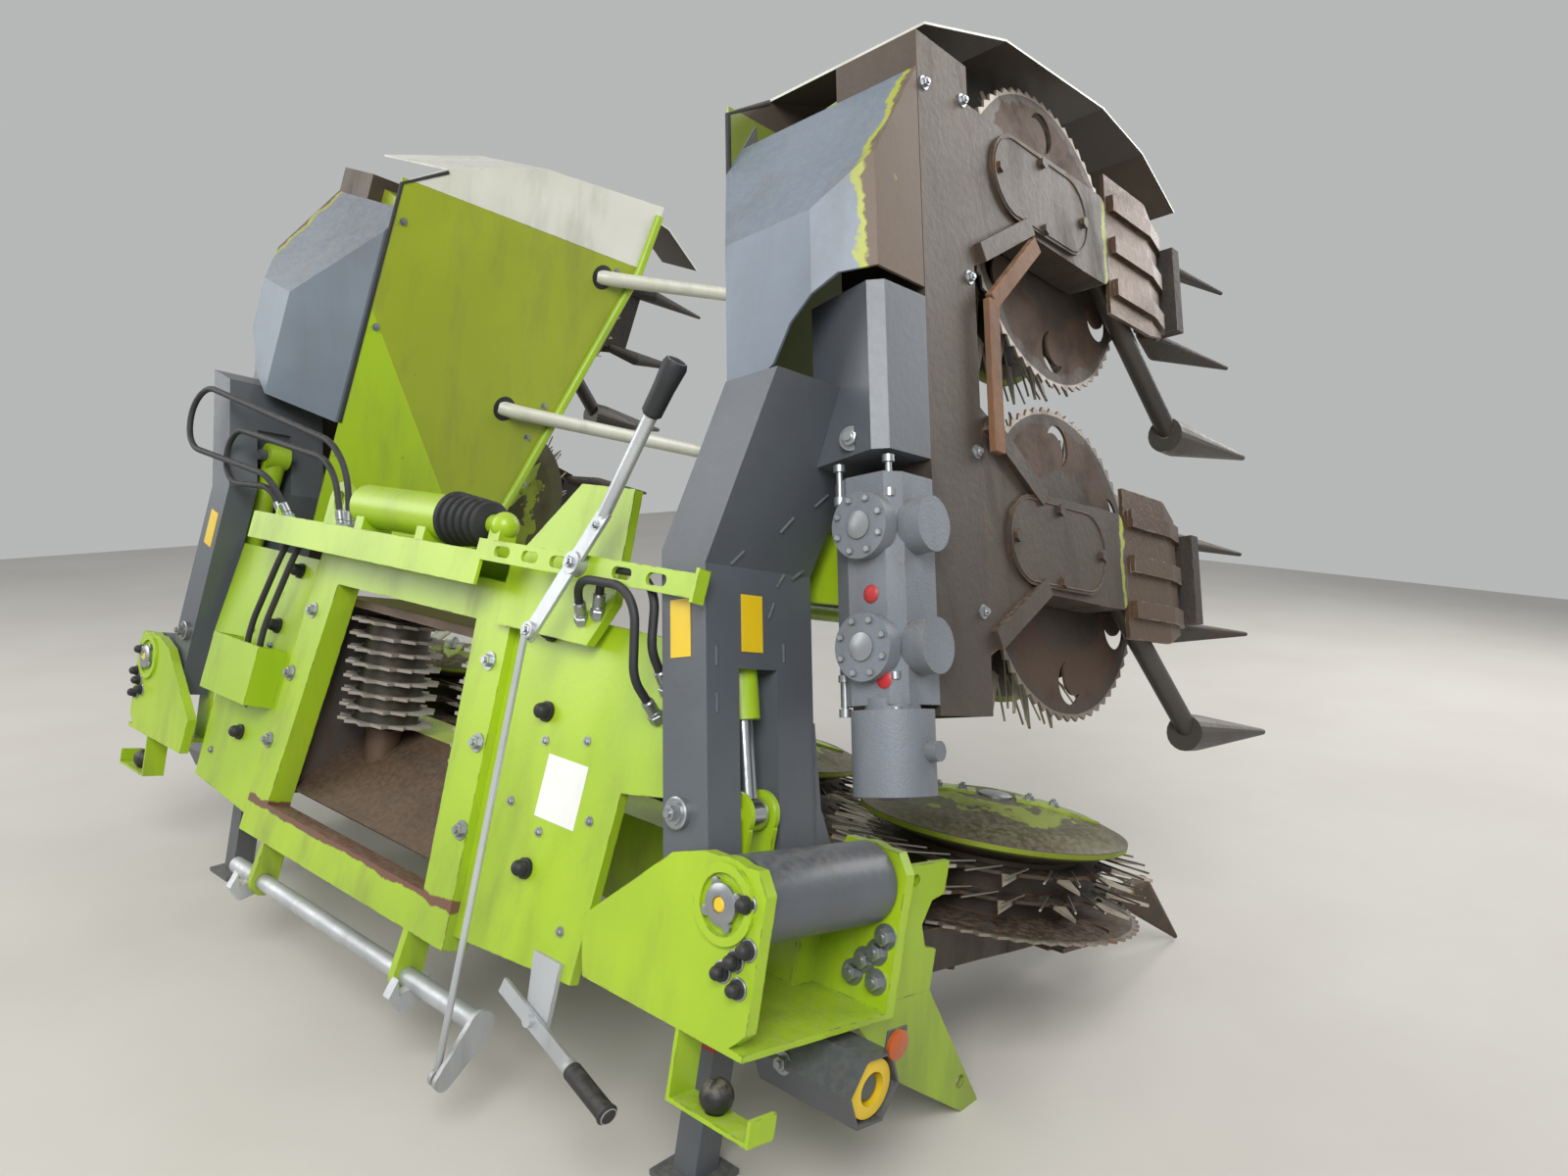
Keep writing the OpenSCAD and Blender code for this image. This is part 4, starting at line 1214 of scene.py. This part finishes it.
@dataclass(frozen=True)
class HingeTrim:
    """Bearing ring, capped bolts and plated bolts at each hinge bracket."""

    hinge: tuple[float, float] = (FRAMES.hinge_x, FRAMES.hinge_z)
    back: float = -0.963
    front: float = -0.592
    cap_size: float = 0.019
    cap_lift: float = 0.003
    cap_offsets: Outline = (
        (0.050, 0.014), (0.065, -0.054), (0.042, -0.079), (0.018, -0.104), (0.056, -0.119),
    )
    washer: Outline = ((0.0185, -0.001), (0.0185, 0.003), (0.017, 0.004))
    bolt_size: float = 0.028
    bolts: Outline = ((1.296, 0.132), (1.283, 0.100), (1.258, 0.078), (1.236, 0.048), (1.290, 0.048))
    ring_lift: float = 0.006
    ring: Outline = (
        (0.034, 0.0), (0.034, 0.006), (0.026, 0.010), (0.014, 0.010), (0.012, 0.004), (0.001, 0.004),
    )
    lug_radius: float = 0.036
    lug: Outline = ((0.009, -0.001), (0.009, 0.005), (0.006, 0.006))
    mark_lift: float = 0.010
    mark: Outline = ((0.0125, 0.0), (0.0125, 0.003), (0.010, 0.005))

    def build_side(self, side: Side) -> None:
        """Builds the trim of one bracket.

        Args:
            side: the bracket's side.
        """
        mark, washers, caps, plated, ring = (
            Form(FRAMES.parked(side), ending=f"_{side.word}") for _ in range(5)
        )
        x, z = self.hinge
        mark.turned((x, self.back - self.mark_lift, z), BACKWARDS, self.mark, 20)
        for across, up in self.cap_offsets:
            washers.turned((x + across, self.back, z + up), BACKWARDS, self.washer)
            caps.capped((x + across, self.back - self.cap_lift, z + up), BACKWARDS, self.cap_size)
        for place in self.bolts:
            plated.bolt((place[0], self.front, place[1]), BACKWARDS, self.bolt_size)
        ring.turned((x, self.back - self.ring_lift, z), BACKWARDS, self.ring, 28)
        for across, up in circle(self.lug_radius, 4, 30):
            ring.turned((x + across, self.back - self.ring_lift, z + up), BACKWARDS, self.lug, 10)
        mark.piece("hinge_pin_mark", YELLOW)
        washers.piece("hinge_washers", SILVER)
        caps.piece("hinge_bolt_caps", RUBBER)
        plated.piece("hinge_bolts", SILVER)
        ring.piece("hinge_pin_ring", SILVER)

    def build(self) -> None:
        """Builds the trim of both brackets."""
        for side in Side:
            self.build_side(side)


@dataclass(frozen=True)
class DriveGuardTrim:
    """Yellow coupling, bolt, and reflector on its tab at each drive input."""

    guard_y: float = -0.685
    guard_z: float = -0.092
    guard_end: float = 1.385
    guard_radius: float = 0.061
    coupling_depth: float = 0.052
    coupling: Outline = (
        (0.030, 0.0), (0.054, 0.0), (0.056, 0.012), (0.048, 0.020), (0.056, 0.030), (0.052, 0.044),
        (0.030, 0.046), (0.030, 0.020),
    )
    tab_start: float = 1.375
    tab_thick: float = 0.004
    tab: Outline = ((-0.662, -0.039), (-0.606, -0.032), (-0.606, 0.004), (-0.662, 0.004))
    reflector_place: tuple[float, float] = (-0.634, -0.024)
    reflector: Outline = ((0.027, 0.0), (0.027, 0.007), (0.023, 0.009))
    bolt_x: float = 1.230
    bolt_size: float = 0.024

    def build_side(self, side: Side) -> None:
        """Builds the trim of one drive input.

        Args:
            side: the side of the input.
        """
        coupling, tab, reflector, bolt = (
            Form(FRAMES.parked(side), ending=f"_{side.word}") for _ in range(4)
        )
        face = self.tab_start + self.tab_thick
        inside = self.guard_end - self.coupling_depth
        coupling.turned((inside, self.guard_y, self.guard_z), RIGHTWARDS, self.coupling, 36)
        tab.prism(self.tab, self.tab_start, face, Plane.YZ)
        reflector.turned((face, *self.reflector_place), RIGHTWARDS, self.reflector, 32)
        bolt.bolt((self.bolt_x, self.guard_y - self.guard_radius, self.guard_z), BACKWARDS, self.bolt_size)
        coupling.piece("drive_coupling", YELLOW)
        tab.piece("reflector_tab", DARK, 0.001)
        reflector.piece("reflector", ORANGE)
        bolt.piece("guard_bolt", SILVER)

    def build(self) -> None:
        """Builds the trim of both drive inputs."""
        for side in Side:
            self.build_side(side)


@dataclass(frozen=True)
class WingTrim:
    """Bolts, studs, wear bars, tubes and plates on one wing, in its unfolded frame."""

    side: Side
    cap_places: tuple[float, float] = (1.645, 1.852)
    cap_back: float = -0.790
    cap_level: float = 0.058
    cap_hub: Outline = ((0.024, -0.002), (0.024, 0.004), (0.010, 0.007))
    cap_circle: float = 0.047
    cap_bolt: Outline = ((0.0065, -0.002), (0.0065, 0.004), (0.005, 0.006))
    stud_places: tuple[float, float] = (1.530, 1.900)
    stud_back: float = -0.754
    stud_levels: tuple[float, float] = (0.018, 0.125)
    stud: Outline = (
        (0.011, 0.0), (0.011, 0.014), (0.006, 0.014), (0.006, 0.060), (0.011, 0.060), (0.011, 0.072),
    )
    mark_places: Outline = ((1.735, 0.052), (1.590, 0.030))
    mark_back: float = -0.769
    mark: Outline = ((0.016, 0.0), (0.012, 0.003), (0.002, 0.004))
    bars: tuple[Outline, ...] = (((2.020, -0.478), (2.320, -0.478)), ((2.330, -0.470), (2.500, -0.290)))
    bar_width: float = 0.034
    bar_heights: tuple[float, float] = (-0.030, -0.014)
    web: float = 0.285
    web_bend: float = 1.800
    web_slope: float = 0.5645
    weld_radius: float = 0.0036
    weld_lift: float = 0.001
    welds: tuple[tuple[float, ...], ...] = (
        (1.930, -0.700, 0.012, 0.012), (1.880, -0.765, 0.014, 0.010), (1.815, -0.858, 0.012, 0.010),
        (1.640, -0.905, 0.017, 0.000), (1.800, -0.690, 0.010, 0.014), (1.785, -0.735, 0.013, 0.011),
        (1.727, -0.762, 0.015, 0.008), (1.652, -0.730, 0.017, 0.000), (1.560, -0.905, 0.017, 0.000),
        (1.990, -0.730, 0.010, 0.014),
    )
    carrier_back: float = -0.930
    foot: tuple[float, float] = (1.374, 0.352)
    boss_height: float = 0.014
    boss: Outline = ((0.028, -0.001), (0.028, 0.012), (0.025, 0.014))
    foot_bolt: float = 0.024
    head_place: Place = (2.010, -0.770, 0.083)
    head_way: Place = (0, -1, -0.25)
    head_bolt: float = 0.026
    hood_bolt: float = 0.016
    hood_bolts: Outline = ((1.72, -0.500), (2.02, -0.500), (2.36, -0.500), (2.72, -0.500), (2.70, -0.630))
    cover_top: float = 0.449
    roll_radius: float = 0.016
    roll_line: Outline = (
        (1.764, -0.680), (1.764, -0.150), (1.800, -0.100), (2.000, -0.034), (2.400, 0.083),
        (2.796, 0.198), (2.990, 0.214),
    )
    cover_bolt: float = 0.014
    cover_bolts: Outline = (
        (2.690, -0.655), (2.380, -0.655), (2.770, 0.110), (2.276, -0.020), (2.162, -0.050),
    )
    seal_radius: float = 0.006
    seal_line: Outline = ((2.085, -0.688), (2.790, -0.688), (2.866, -0.560))
    guide_level: float = 0.473
    guide_radius: float = 0.024
    guide_bend: float = 0.060
    guide_over: float = 0.002
    root_back: float = 0.036
    root_drop: float = 0.034
    hole_back: float = 0.026
    hole_lift: float = 0.0005
    guide_bars: tuple[Outline, ...] = (((2.741, 0.087), (2.830, 0.582)), ((2.237, -0.138), (2.254, 0.674)))
    grommet: Outline = ((0.040, -0.001), (0.040, 0.0015), (0.034, 0.003), (0.012, 0.003))
    plate_depths: tuple[float, float] = (-0.0015, 0.0005)
    back_plate: Outline = ((1.640, 0.322), (1.742, 0.372))
    web_plate: Outline = ((1.650, -0.842), (1.752, -0.788))
    lid_places: Outline = ((1.875, -0.205), (2.625, -0.205))
    lid_radius: float = 0.083
    lid_half: float = 0.11
    lid_level: float = -0.0085
    bead_radius: float = 0.0022

    def form(self) -> Form:
        """Empty mesh in the wing's frame, which rides on the wing."""
        return Form(FRAMES.folded(self.side), f"wing_{self.side.word}", f"_{self.side.word}")

    def gearbox(self) -> None:
        """Bolts round the two caps, end studs, and the red plugs beside them."""
        bolts, marks = self.form(), self.form()
        for x in self.cap_places:
            for across, up in circle(self.cap_circle, 8, 22):
                bolts.turned((x + across, self.cap_back, self.cap_level + up), BACKWARDS, self.cap_bolt, 6)
            bolts.turned((x, self.cap_back, self.cap_level), BACKWARDS, self.cap_hub)
        for x in self.stud_places:
            for z in self.stud_levels:
                bolts.turned((x, self.stud_back, z), RIGHTWARDS, self.stud, 12)
        for x, z in self.mark_places:
            marks.turned((x, self.mark_back, z), BACKWARDS, self.mark, 18)
        bolts.piece("gearbox_bolts", SILVER)
        marks.piece("gearbox_marks", RED)

    def wear_bars(self) -> None:
        """Rust-brown wear bars bolted along the front of the beam."""
        form = self.form()
        for (x0, y0), (x1, y1) in self.bars:
            along = Vector((x1 - x0, y1 - y0)).normalized()
            side = Vector((-along.y, along.x)) * self.bar_width
            outline = [(x0, y0), (x1, y1), (x1 + side.x, y1 + side.y), (x0 + side.x, y0 + side.y)]
            form.prism(outline, *self.bar_heights, Plane.XY)
        form.piece("wear_bars", RUST, 0.002)

    def web_level(self, x: float) -> float:
        """Level of the carrier's underside, which bends towards its end."""
        return self.web - max(0.0, x - self.web_bend) * self.web_slope

    def stitches(self) -> None:
        """Short plug welds under the carrier, where its inner web is welded in."""
        form = self.form()
        for x, y, dx, dy in self.welds:
            ends = [
                (x + s * dx, y + s * dy, self.web_level(x + s * dx) + self.weld_lift) for s in (-1, 1)
            ]
            form.tube(ends, self.weld_radius, 8)
        form.piece("carrier_welds", CARRIER)

    def carrier_bolts(self) -> None:
        """Bolt in its boss at the foot of the carrier, and the bolts at its head and of the hood."""
        form = self.form()
        x, z = self.foot
        form.turned((x, self.carrier_back, z), BACKWARDS, self.boss, 28)
        form.bolt((x, self.carrier_back - self.boss_height, z), BACKWARDS, self.foot_bolt)
        form.bolt(self.head_place, Vector(self.head_way), self.head_bolt)
        for x, y in self.hood_bolts:
            form.bolt((x, y, 0.0), DOWNWARDS, self.hood_bolt)
        form.piece("carrier_bolts", SILVER)

    def cover_trim(self) -> None:
        """Round roll along the cover's free edge, its bolts, and the seal under the hood."""
        roll, bolts, seal = (self.form() for _ in range(3))
        roll.tube([(*place, self.cover_top) for place in self.roll_line], self.roll_radius, 14)
        for place in self.cover_bolts:
            bolts.bolt((*place, self.cover_top), UPWARDS, self.cover_bolt)
        seal.tube([(*place, self.cover_top) for place in self.seal_line], self.seal_radius, 10)
        roll.piece("cover_edge_roll", LIME)
        bolts.piece("cover_bolts", SILVER)
        seal.piece("hood_seal", RUBBER)

    def guides(self) -> None:
        """Cream tubes over the guide bars, each with its bent root in a rubber grommet."""
        tubes, grommets = self.form(), self.form()
        for root, end in self.guide_bars:
            start, stop = Vector((*root, self.guide_level)), Vector((*end, self.guide_level))
            ahead = (stop - start).normalized()
            foot = start - ahead * self.root_back - UPWARDS * self.root_drop
            tip = stop + ahead * self.guide_over
            line = rounded_line([foot, start, tip], [self.guide_bend], 10)
            tubes.tube(line, self.guide_radius, 20)
            hole = start - ahead * self.hole_back
            grommets.turned((hole.x, hole.y, self.cover_top + self.hole_lift), UPWARDS, self.grommet, 28)
        tubes.piece("guide_tubes", CREAM)
        grommets.piece("guide_grommets", RUBBER)

    def plates(self) -> None:
        """Blank yellow plates on the back and the underside of the carrier."""
        form = self.form()
        low, high = self.plate_depths
        form.prism(rectangle(*self.back_plate), self.carrier_back + low, self.carrier_back + high, Plane.XZ)
        form.prism(rectangle(*self.web_plate), self.web + low, self.web + high, Plane.XY)
        form.piece("blank_yellow_plates", YELLOW)

    def lids(self) -> None:
        """Raised seam bead round each oval lid under the arms."""
        form = self.form()
        for x, y in self.lid_places:
            line = [
                (x + across, y + ahead + math.copysign(self.lid_half, ahead), self.lid_level)
                for across, ahead in circle(self.lid_radius, 48)
            ]
            form.tube([*line, line[0]], self.bead_radius, 6)
        form.piece("lid_seams", BEAM)

    def build(self) -> None:
        """Builds the wing's trim."""
        self.gearbox()
        self.wear_bars()
        self.stitches()
        self.carrier_bolts()
        self.cover_trim()
        self.guides()
        self.plates()
        self.lids()


@dataclass(frozen=True)
class RotorTines:
    """Bright sprung tines round each gathering rotor."""

    count: int = 28
    root: float = 0.245
    tip: float = 0.352
    sweep: float = 14.0
    levels: tuple[float, float] = (0.168, 0.222)
    radius: float = 0.0026

    def build(self) -> None:
        """Builds one piece a rotor."""
        roots, tips = circle(self.root, self.count), circle(self.tip, self.count, -self.sweep)
        for rotor in ROTORS:
            form = Form(rotor.frame, rotor.node, rotor.ending)
            for level in self.levels:
                for root, tip in zip(roots, tips):
                    form.tube([(*root, level), (*tip, level)], self.radius, 6)
            form.piece("tines", STEEL_TINE)


@dataclass(frozen=True)
class RotorPaddles:
    """Lime two-armed paddle with its bolts and its middle cap on each dome."""

    turn: float = 0.6
    flat: float = 0.110
    flat_level: float = 0.322
    edge: float = 0.240
    edge_level: float = 0.296
    outline: Outline = (
        (0.045, -0.030), (0.110, -0.034), (0.175, -0.020), (0.236, 0.006), (0.190, 0.024), (0.110, 0.032),
        (0.045, 0.030),
    )
    heights: tuple[float, float] = (-0.001, 0.006)
    bolt_reaches: tuple[float, float] = (0.075, 0.130)
    bolt_size: float = 0.017
    bolt_lift: float = 0.005
    cap_drop: float = 0.001
    cap: Outline = ((0.038, 0.0), (0.038, 0.006), (0.030, 0.010), (0.004, 0.012))

    def level(self, x: float, y: float) -> float:
        """Level of the dome at a place."""
        share = (math.hypot(x, y) - self.flat) / (self.edge - self.flat)
        return self.flat_level + (self.edge_level - self.flat_level) * min(max(share, 0.0), 1.0)

    def build(self) -> None:
        """Builds one paddle and its bolts a rotor."""
        for rotor in ROTORS:
            place = rotor.frame @ Matrix.Rotation(self.turn, 4, "Z")
            paddle, bolts = (Form(place, rotor.node, rotor.ending) for _ in range(2))
            for s in (-1, 1):
                plan = [(s * x, s * y) for x, y in self.outline]
                paddle.skin([[Vector((x, y, self.level(x, y) + h)) for x, y in plan] for h in self.heights])
                for reach in self.bolt_reaches:
                    level = self.level(reach, 0) + self.bolt_lift
                    bolts.bolt((s * reach, 0, level), UPWARDS, self.bolt_size)
            bolts.turned((0, 0, self.flat_level - self.cap_drop), UPWARDS, self.cap, 28)
            paddle.piece("paddle", LIME_WORN)
            bolts.piece("paddle_bolts", SILVER)


@dataclass(frozen=True)
class Hose:
    """One hydraulic hose between two places on the header.

    The route holds its two ends and, between them, the corners, each with the radius of its
    bend as the fourth number.
    """

    name: str
    side: Side
    route: tuple[tuple[float, ...], ...]
    radius: float = 0.0085
    nut: Outline = ((0.0155, -0.003), (0.0155, 0.013), (0.013, 0.015))
    sleeve: Outline = (
        (0.0120, 0.012), (0.0120, 0.020), (0.0105, 0.022), (0.0120, 0.024), (0.0120, 0.046),
        (0.0095, 0.049),
    )

    def fitting(self, word: str, end: Vector, way: Vector) -> bpy.types.Object:
        """Nut and crimped sleeve at one end.

        Args:
            word: what the fitting's name ends in.
            end: the hose's end.
            way: direction from the end along the hose.

        Returns:
            The fitting.
        """
        form = Form(FRAMES.parked(self.side))
        form.turned(end, way, self.nut, 6)
        form.turned(end, way, self.sleeve, 16)
        return form.piece(f"{self.name}_{word}", SILVER)

    def build(self) -> None:
        points = [Vector(p[:3]) for p in self.route]
        line = rounded_line(points, [p[3] for p in self.route[1:-1]], 12)
        place = FRAMES.parked(self.side)
        path = [tuple(place @ p) for p in line]
        form = Form(place)
        form.tube(line, self.radius, 12)
        ends = [
            self.fitting("foot", line[0], line[1] - line[0]),
            self.fitting("head", line[-1], line[-2] - line[-1]),
        ]
        hose = form.piece(self.name, RUBBER)
        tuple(path[0])
        sum((b - a).length for a, b in zip(line, line[1:]))


HOSES = (
    Hose("loop_hose_high", Side.LEFT, (
        (0.300, -0.880, 0.692), (0.325, -0.905, 0.895, 0.160), (1.130, -0.985, 1.045, 0.085),
        (1.100, -0.990, 0.855, 0.085), (0.668, -0.935, 0.800, 0.085), (0.630, -0.880, 0.692))),
    Hose("loop_hose_low", Side.LEFT, (
        (0.340, -0.880, 0.692), (0.385, -0.905, 0.860, 0.120), (0.945, -0.945, 0.925, 0.072),
        (0.935, -0.940, 0.765, 0.072), (0.718, -0.905, 0.772, 0.072), (0.672, -0.880, 0.692))),
    Hose("valve_hose_outer", Side.LEFT, (
        (0.650, -0.945, 0.207), (0.646, -0.936, 0.400, 0.250), (0.568, -0.918, 0.600, 0.150),
        (0.560, -0.887, 0.685))),
    Hose("valve_hose_inner", Side.LEFT, (
        (0.575, -0.945, 0.207), (0.571, -0.936, 0.400, 0.250), (0.498, -0.918, 0.600, 0.150),
        (0.490, -0.887, 0.685))),
    Hose("fold_hose_outer", Side.RIGHT, (
        (0.690, -0.897, 0.600), (0.728, -0.958, 0.685, 0.072), (0.905, -0.960, 0.685, 0.072),
        (0.922, -0.950, 0.525, 0.072), (0.922, -0.875, 0.452))),
    Hose("fold_hose_inner", Side.RIGHT, (
        (0.735, -0.897, 0.618), (0.770, -0.934, 0.712, 0.072), (0.925, -0.932, 0.712, 0.072),
        (0.938, -0.932, 0.580, 0.072), (0.938, -0.875, 0.505))),
)


@dataclass(frozen=True)
class LatchTrim:
    """Rubber grips of the two hand levers and the bolts of the latch lever."""

    pivot: Place = (0.728, -0.1473, 0.696)
    angle: float = 62.0
    length: float = 0.426
    lever_y: float = -0.016
    grip_back: float = 0.105
    grip_over: float = 0.006
    crank_shifts: tuple[float, float] = (0.03036, 0.04444)
    bolt_y: float = -0.0195
    bolts: Outline = ((0.0, 0.020), (-0.161, 0.020), (0.086, 0.012), (0.112, 0.012))
    release_pivot: Place = (0.800, -0.056, -0.145)
    release_angle: float = -16.0
    release_start: float = 0.137
    release_grip: Outline = (
        (0.014, -0.002), (0.0180, 0.006), (0.0180, 0.110), (0.0205, 0.120), (0.012, 0.127),
    )

    def frame_at(self, pivot: Place, angle: float) -> Matrix:
        """Frame of a lever: X along it, from its pivot, at an angle in degrees above the level."""
        turn = Matrix.Rotation(math.radians(-angle), 4, "Y")
        return FRAMES.leaned() @ Matrix.Translation(pivot) @ turn

    def latch(self) -> None:
        """Grip and bolts of the latch lever."""
        place = self.frame_at(self.pivot, self.angle)
        grip, bolts = Form(place, "latch_lever"), Form(place, "latch_lever")
        near, far = self.crank_shifts
        start = Vector((self.length - self.grip_back, self.lever_y - near, 0))
        end = Vector((self.length + self.grip_over, self.lever_y - far, 0))
        run = (end - start).length
        profile = [
            (0.014, -0.002), (0.0195, 0.004), (0.0205, run * 0.5), (0.0235, run - 0.012),
            (0.020, run - 0.003), (0.010, run),
        ]
        grip.turned(start, end - start, profile)
        for x, size in self.bolts:
            bolts.bolt((x, self.bolt_y, 0), BACKWARDS, size)
        grip.piece("latch_lever_grip", RUBBER)
        bolts.piece("latch_lever_bolts", SILVER)

    def release(self) -> None:
        """Grip of the small release lever."""
        form = Form(self.frame_at(self.release_pivot, self.release_angle))
        form.turned((self.release_start, 0, 0), RIGHTWARDS, self.release_grip, 20)
        form.piece("release_lever_grip", RUBBER)

    def build(self) -> None:
        """Builds the trim of both levers."""
        self.latch()
        self.release()


@dataclass(frozen=True)
class StandTrim:
    """Red band on each parking stand."""

    middle: tuple[float, float] = (1.020, -0.700)
    half: float = 0.0308
    level: float = -0.150
    height: float = 0.03

    def build(self) -> None:
        """Builds both bands."""
        x, y = self.middle
        outline = rectangle((x - self.half, y - self.half), (x + self.half, y + self.half))
        for side in Side:
            form = Form(FRAMES.parked(side), f"stand_{side.word}", f"_{side.word}")
            form.prism(outline, self.level, self.level + self.height, Plane.XY)
            form.piece("stand_band", RED)


# The room


@dataclass(frozen=True)
class Lamp:
    """Soft square lamp that points at the header's middle."""

    name: str
    place: Place
    power: float
    size: float
    target: Place = (0, 0, 0.9)

    def build(self) -> None:
        """Builds the lamp."""
        data = bpy.data.lights.new(self.name, "AREA")
        data.energy = self.power
        data.size = self.size
        made = bpy.data.objects.new(self.name, data)
        made.location = self.place
        way = Vector(self.target) - Vector(self.place)
        made.rotation_euler = way.to_track_quat("-Z", "Y").to_euler()
        bpy.context.scene.collection.objects.link(made)


@dataclass(frozen=True)
class Studio:
    """Floor, lamps, world and camera."""

    eye: Place = (2.5, -2.2154, 1.4495)
    azimuth: float = 42.6
    down: float = 9.0
    roll: float = 1.2
    lens: float = 27.0
    sensor: float = 36.0
    view_limit: float = 60.0
    floor_half: float = 9.0
    floor_colours: tuple[str, str] = ("#c7c3bb", "#c1bcb4")
    floor_waves: float = 0.8
    floor_clouds: tuple[float, float] = (0.3, 0.7)
    floor_roughness: float = 0.85
    sky: tuple[float, ...] = (0.86, 0.89, 0.93, 1)
    sky_strength: float = 0.5
    backdrop: tuple[float, ...] = (0.47, 0.48, 0.48, 1)
    lamps: tuple[Lamp, ...] = (
        Lamp("key", (4.2, -4.6, 5.0), 430, 3.2),
        Lamp("fill", (-4.5, -4.0, 3.6), 180, 4.0),
        Lamp("back", (2.0, 5.5, 4.2), 230, 4.0),
    )

    def camera(self) -> None:
        """Camera at the photograph's place and angle."""
        a, p, r = (math.radians(v) for v in (self.azimuth, self.down, self.roll))
        ahead = Vector((-math.sin(a) * math.cos(p), math.cos(a) * math.cos(p), -math.sin(p)))
        level = Vector((math.cos(a), math.sin(a), 0))
        upright = level.cross(ahead)
        right = level * math.cos(r) + upright * math.sin(r)
        up = upright * math.cos(r) - level * math.sin(r)
        data = bpy.data.cameras.new("photo camera")
        data.lens = self.lens
        data.sensor_width = self.sensor
        data.clip_end = self.view_limit
        made = bpy.data.objects.new("photo camera", data)
        turn = Matrix((right, up, -ahead)).transposed().to_4x4()
        made.matrix_world = Matrix.Translation(self.eye) @ turn
        bpy.context.scene.collection.objects.link(made)
        bpy.context.scene.camera = made

    def floor(self) -> None:
        """Plain pale floor."""
        half = self.floor_half
        corners = [(x, y, 0) for x, y in rectangle((-half, -half), (half, half))]
        data = bpy.data.meshes.new("floor")
        data.from_pydata(corners, [], [(0, 1, 2, 3)])
        made = bpy.data.objects.new("floor", data)
        bpy.context.scene.collection.objects.link(made)
        sheet = Sheet("pale floor")
        clouds = sheet.noise(self.floor_waves, 6.0).ramp(*self.floor_clouds)
        colour = sheet.tint(clouds, *self.floor_colours)
        data.materials.append(sheet.close(colour, self.floor_roughness, 0.0, 0.0, None, 0.0))

    def world(self) -> None:
        """Even pale surroundings, and the backdrop that is seen straight, mirrored or through glass."""
        made = bpy.data.worlds.new("studio")
        tree = Tree(made)
        sky = tree.node("ShaderNodeBackground", {}, {"Color": self.sky, "Strength": self.sky_strength})
        backdrop = tree.node("ShaderNodeBackground", {}, {"Color": self.backdrop})
        straight, mirrored, through = (
            tree.node("ShaderNodeLightPath", {}, {}, f"Is {kind} Ray")
            for kind in ("Camera", "Glossy", "Transmission")
        )
        seen = straight.most(mirrored).most(through)
        mixed = tree.node("ShaderNodeMixShader", {}, {"Fac": seen, 1: sky, 2: backdrop})
        tree.end("ShaderNodeOutputWorld", mixed)
        bpy.context.scene.world = made

    def build(self) -> None:
        """Builds the room."""
        self.floor()
        self.world()
        for lamp in self.lamps:
            lamp.build()
        bpy.context.scene.view_settings.view_transform = "Standard"


def main() -> None:
    """Builds the camera, the finishes, the trim and the room."""
    logging.basicConfig(level=logging.INFO, format="%(name)s: %(message)s")
    studio = Studio()
    studio.camera()
    for hose in HOSES:
        hose.build()
    CadDress().build()
    RearFrameTrim().build()
    HingeTrim().build()
    DriveGuardTrim().build()
    for side in Side:
        WingTrim(side).build()
    RotorTines().build()
    RotorPaddles().build()
    LatchTrim().build()
    StandTrim().build()
    studio.build()


if __name__ == "__main__":
    main()
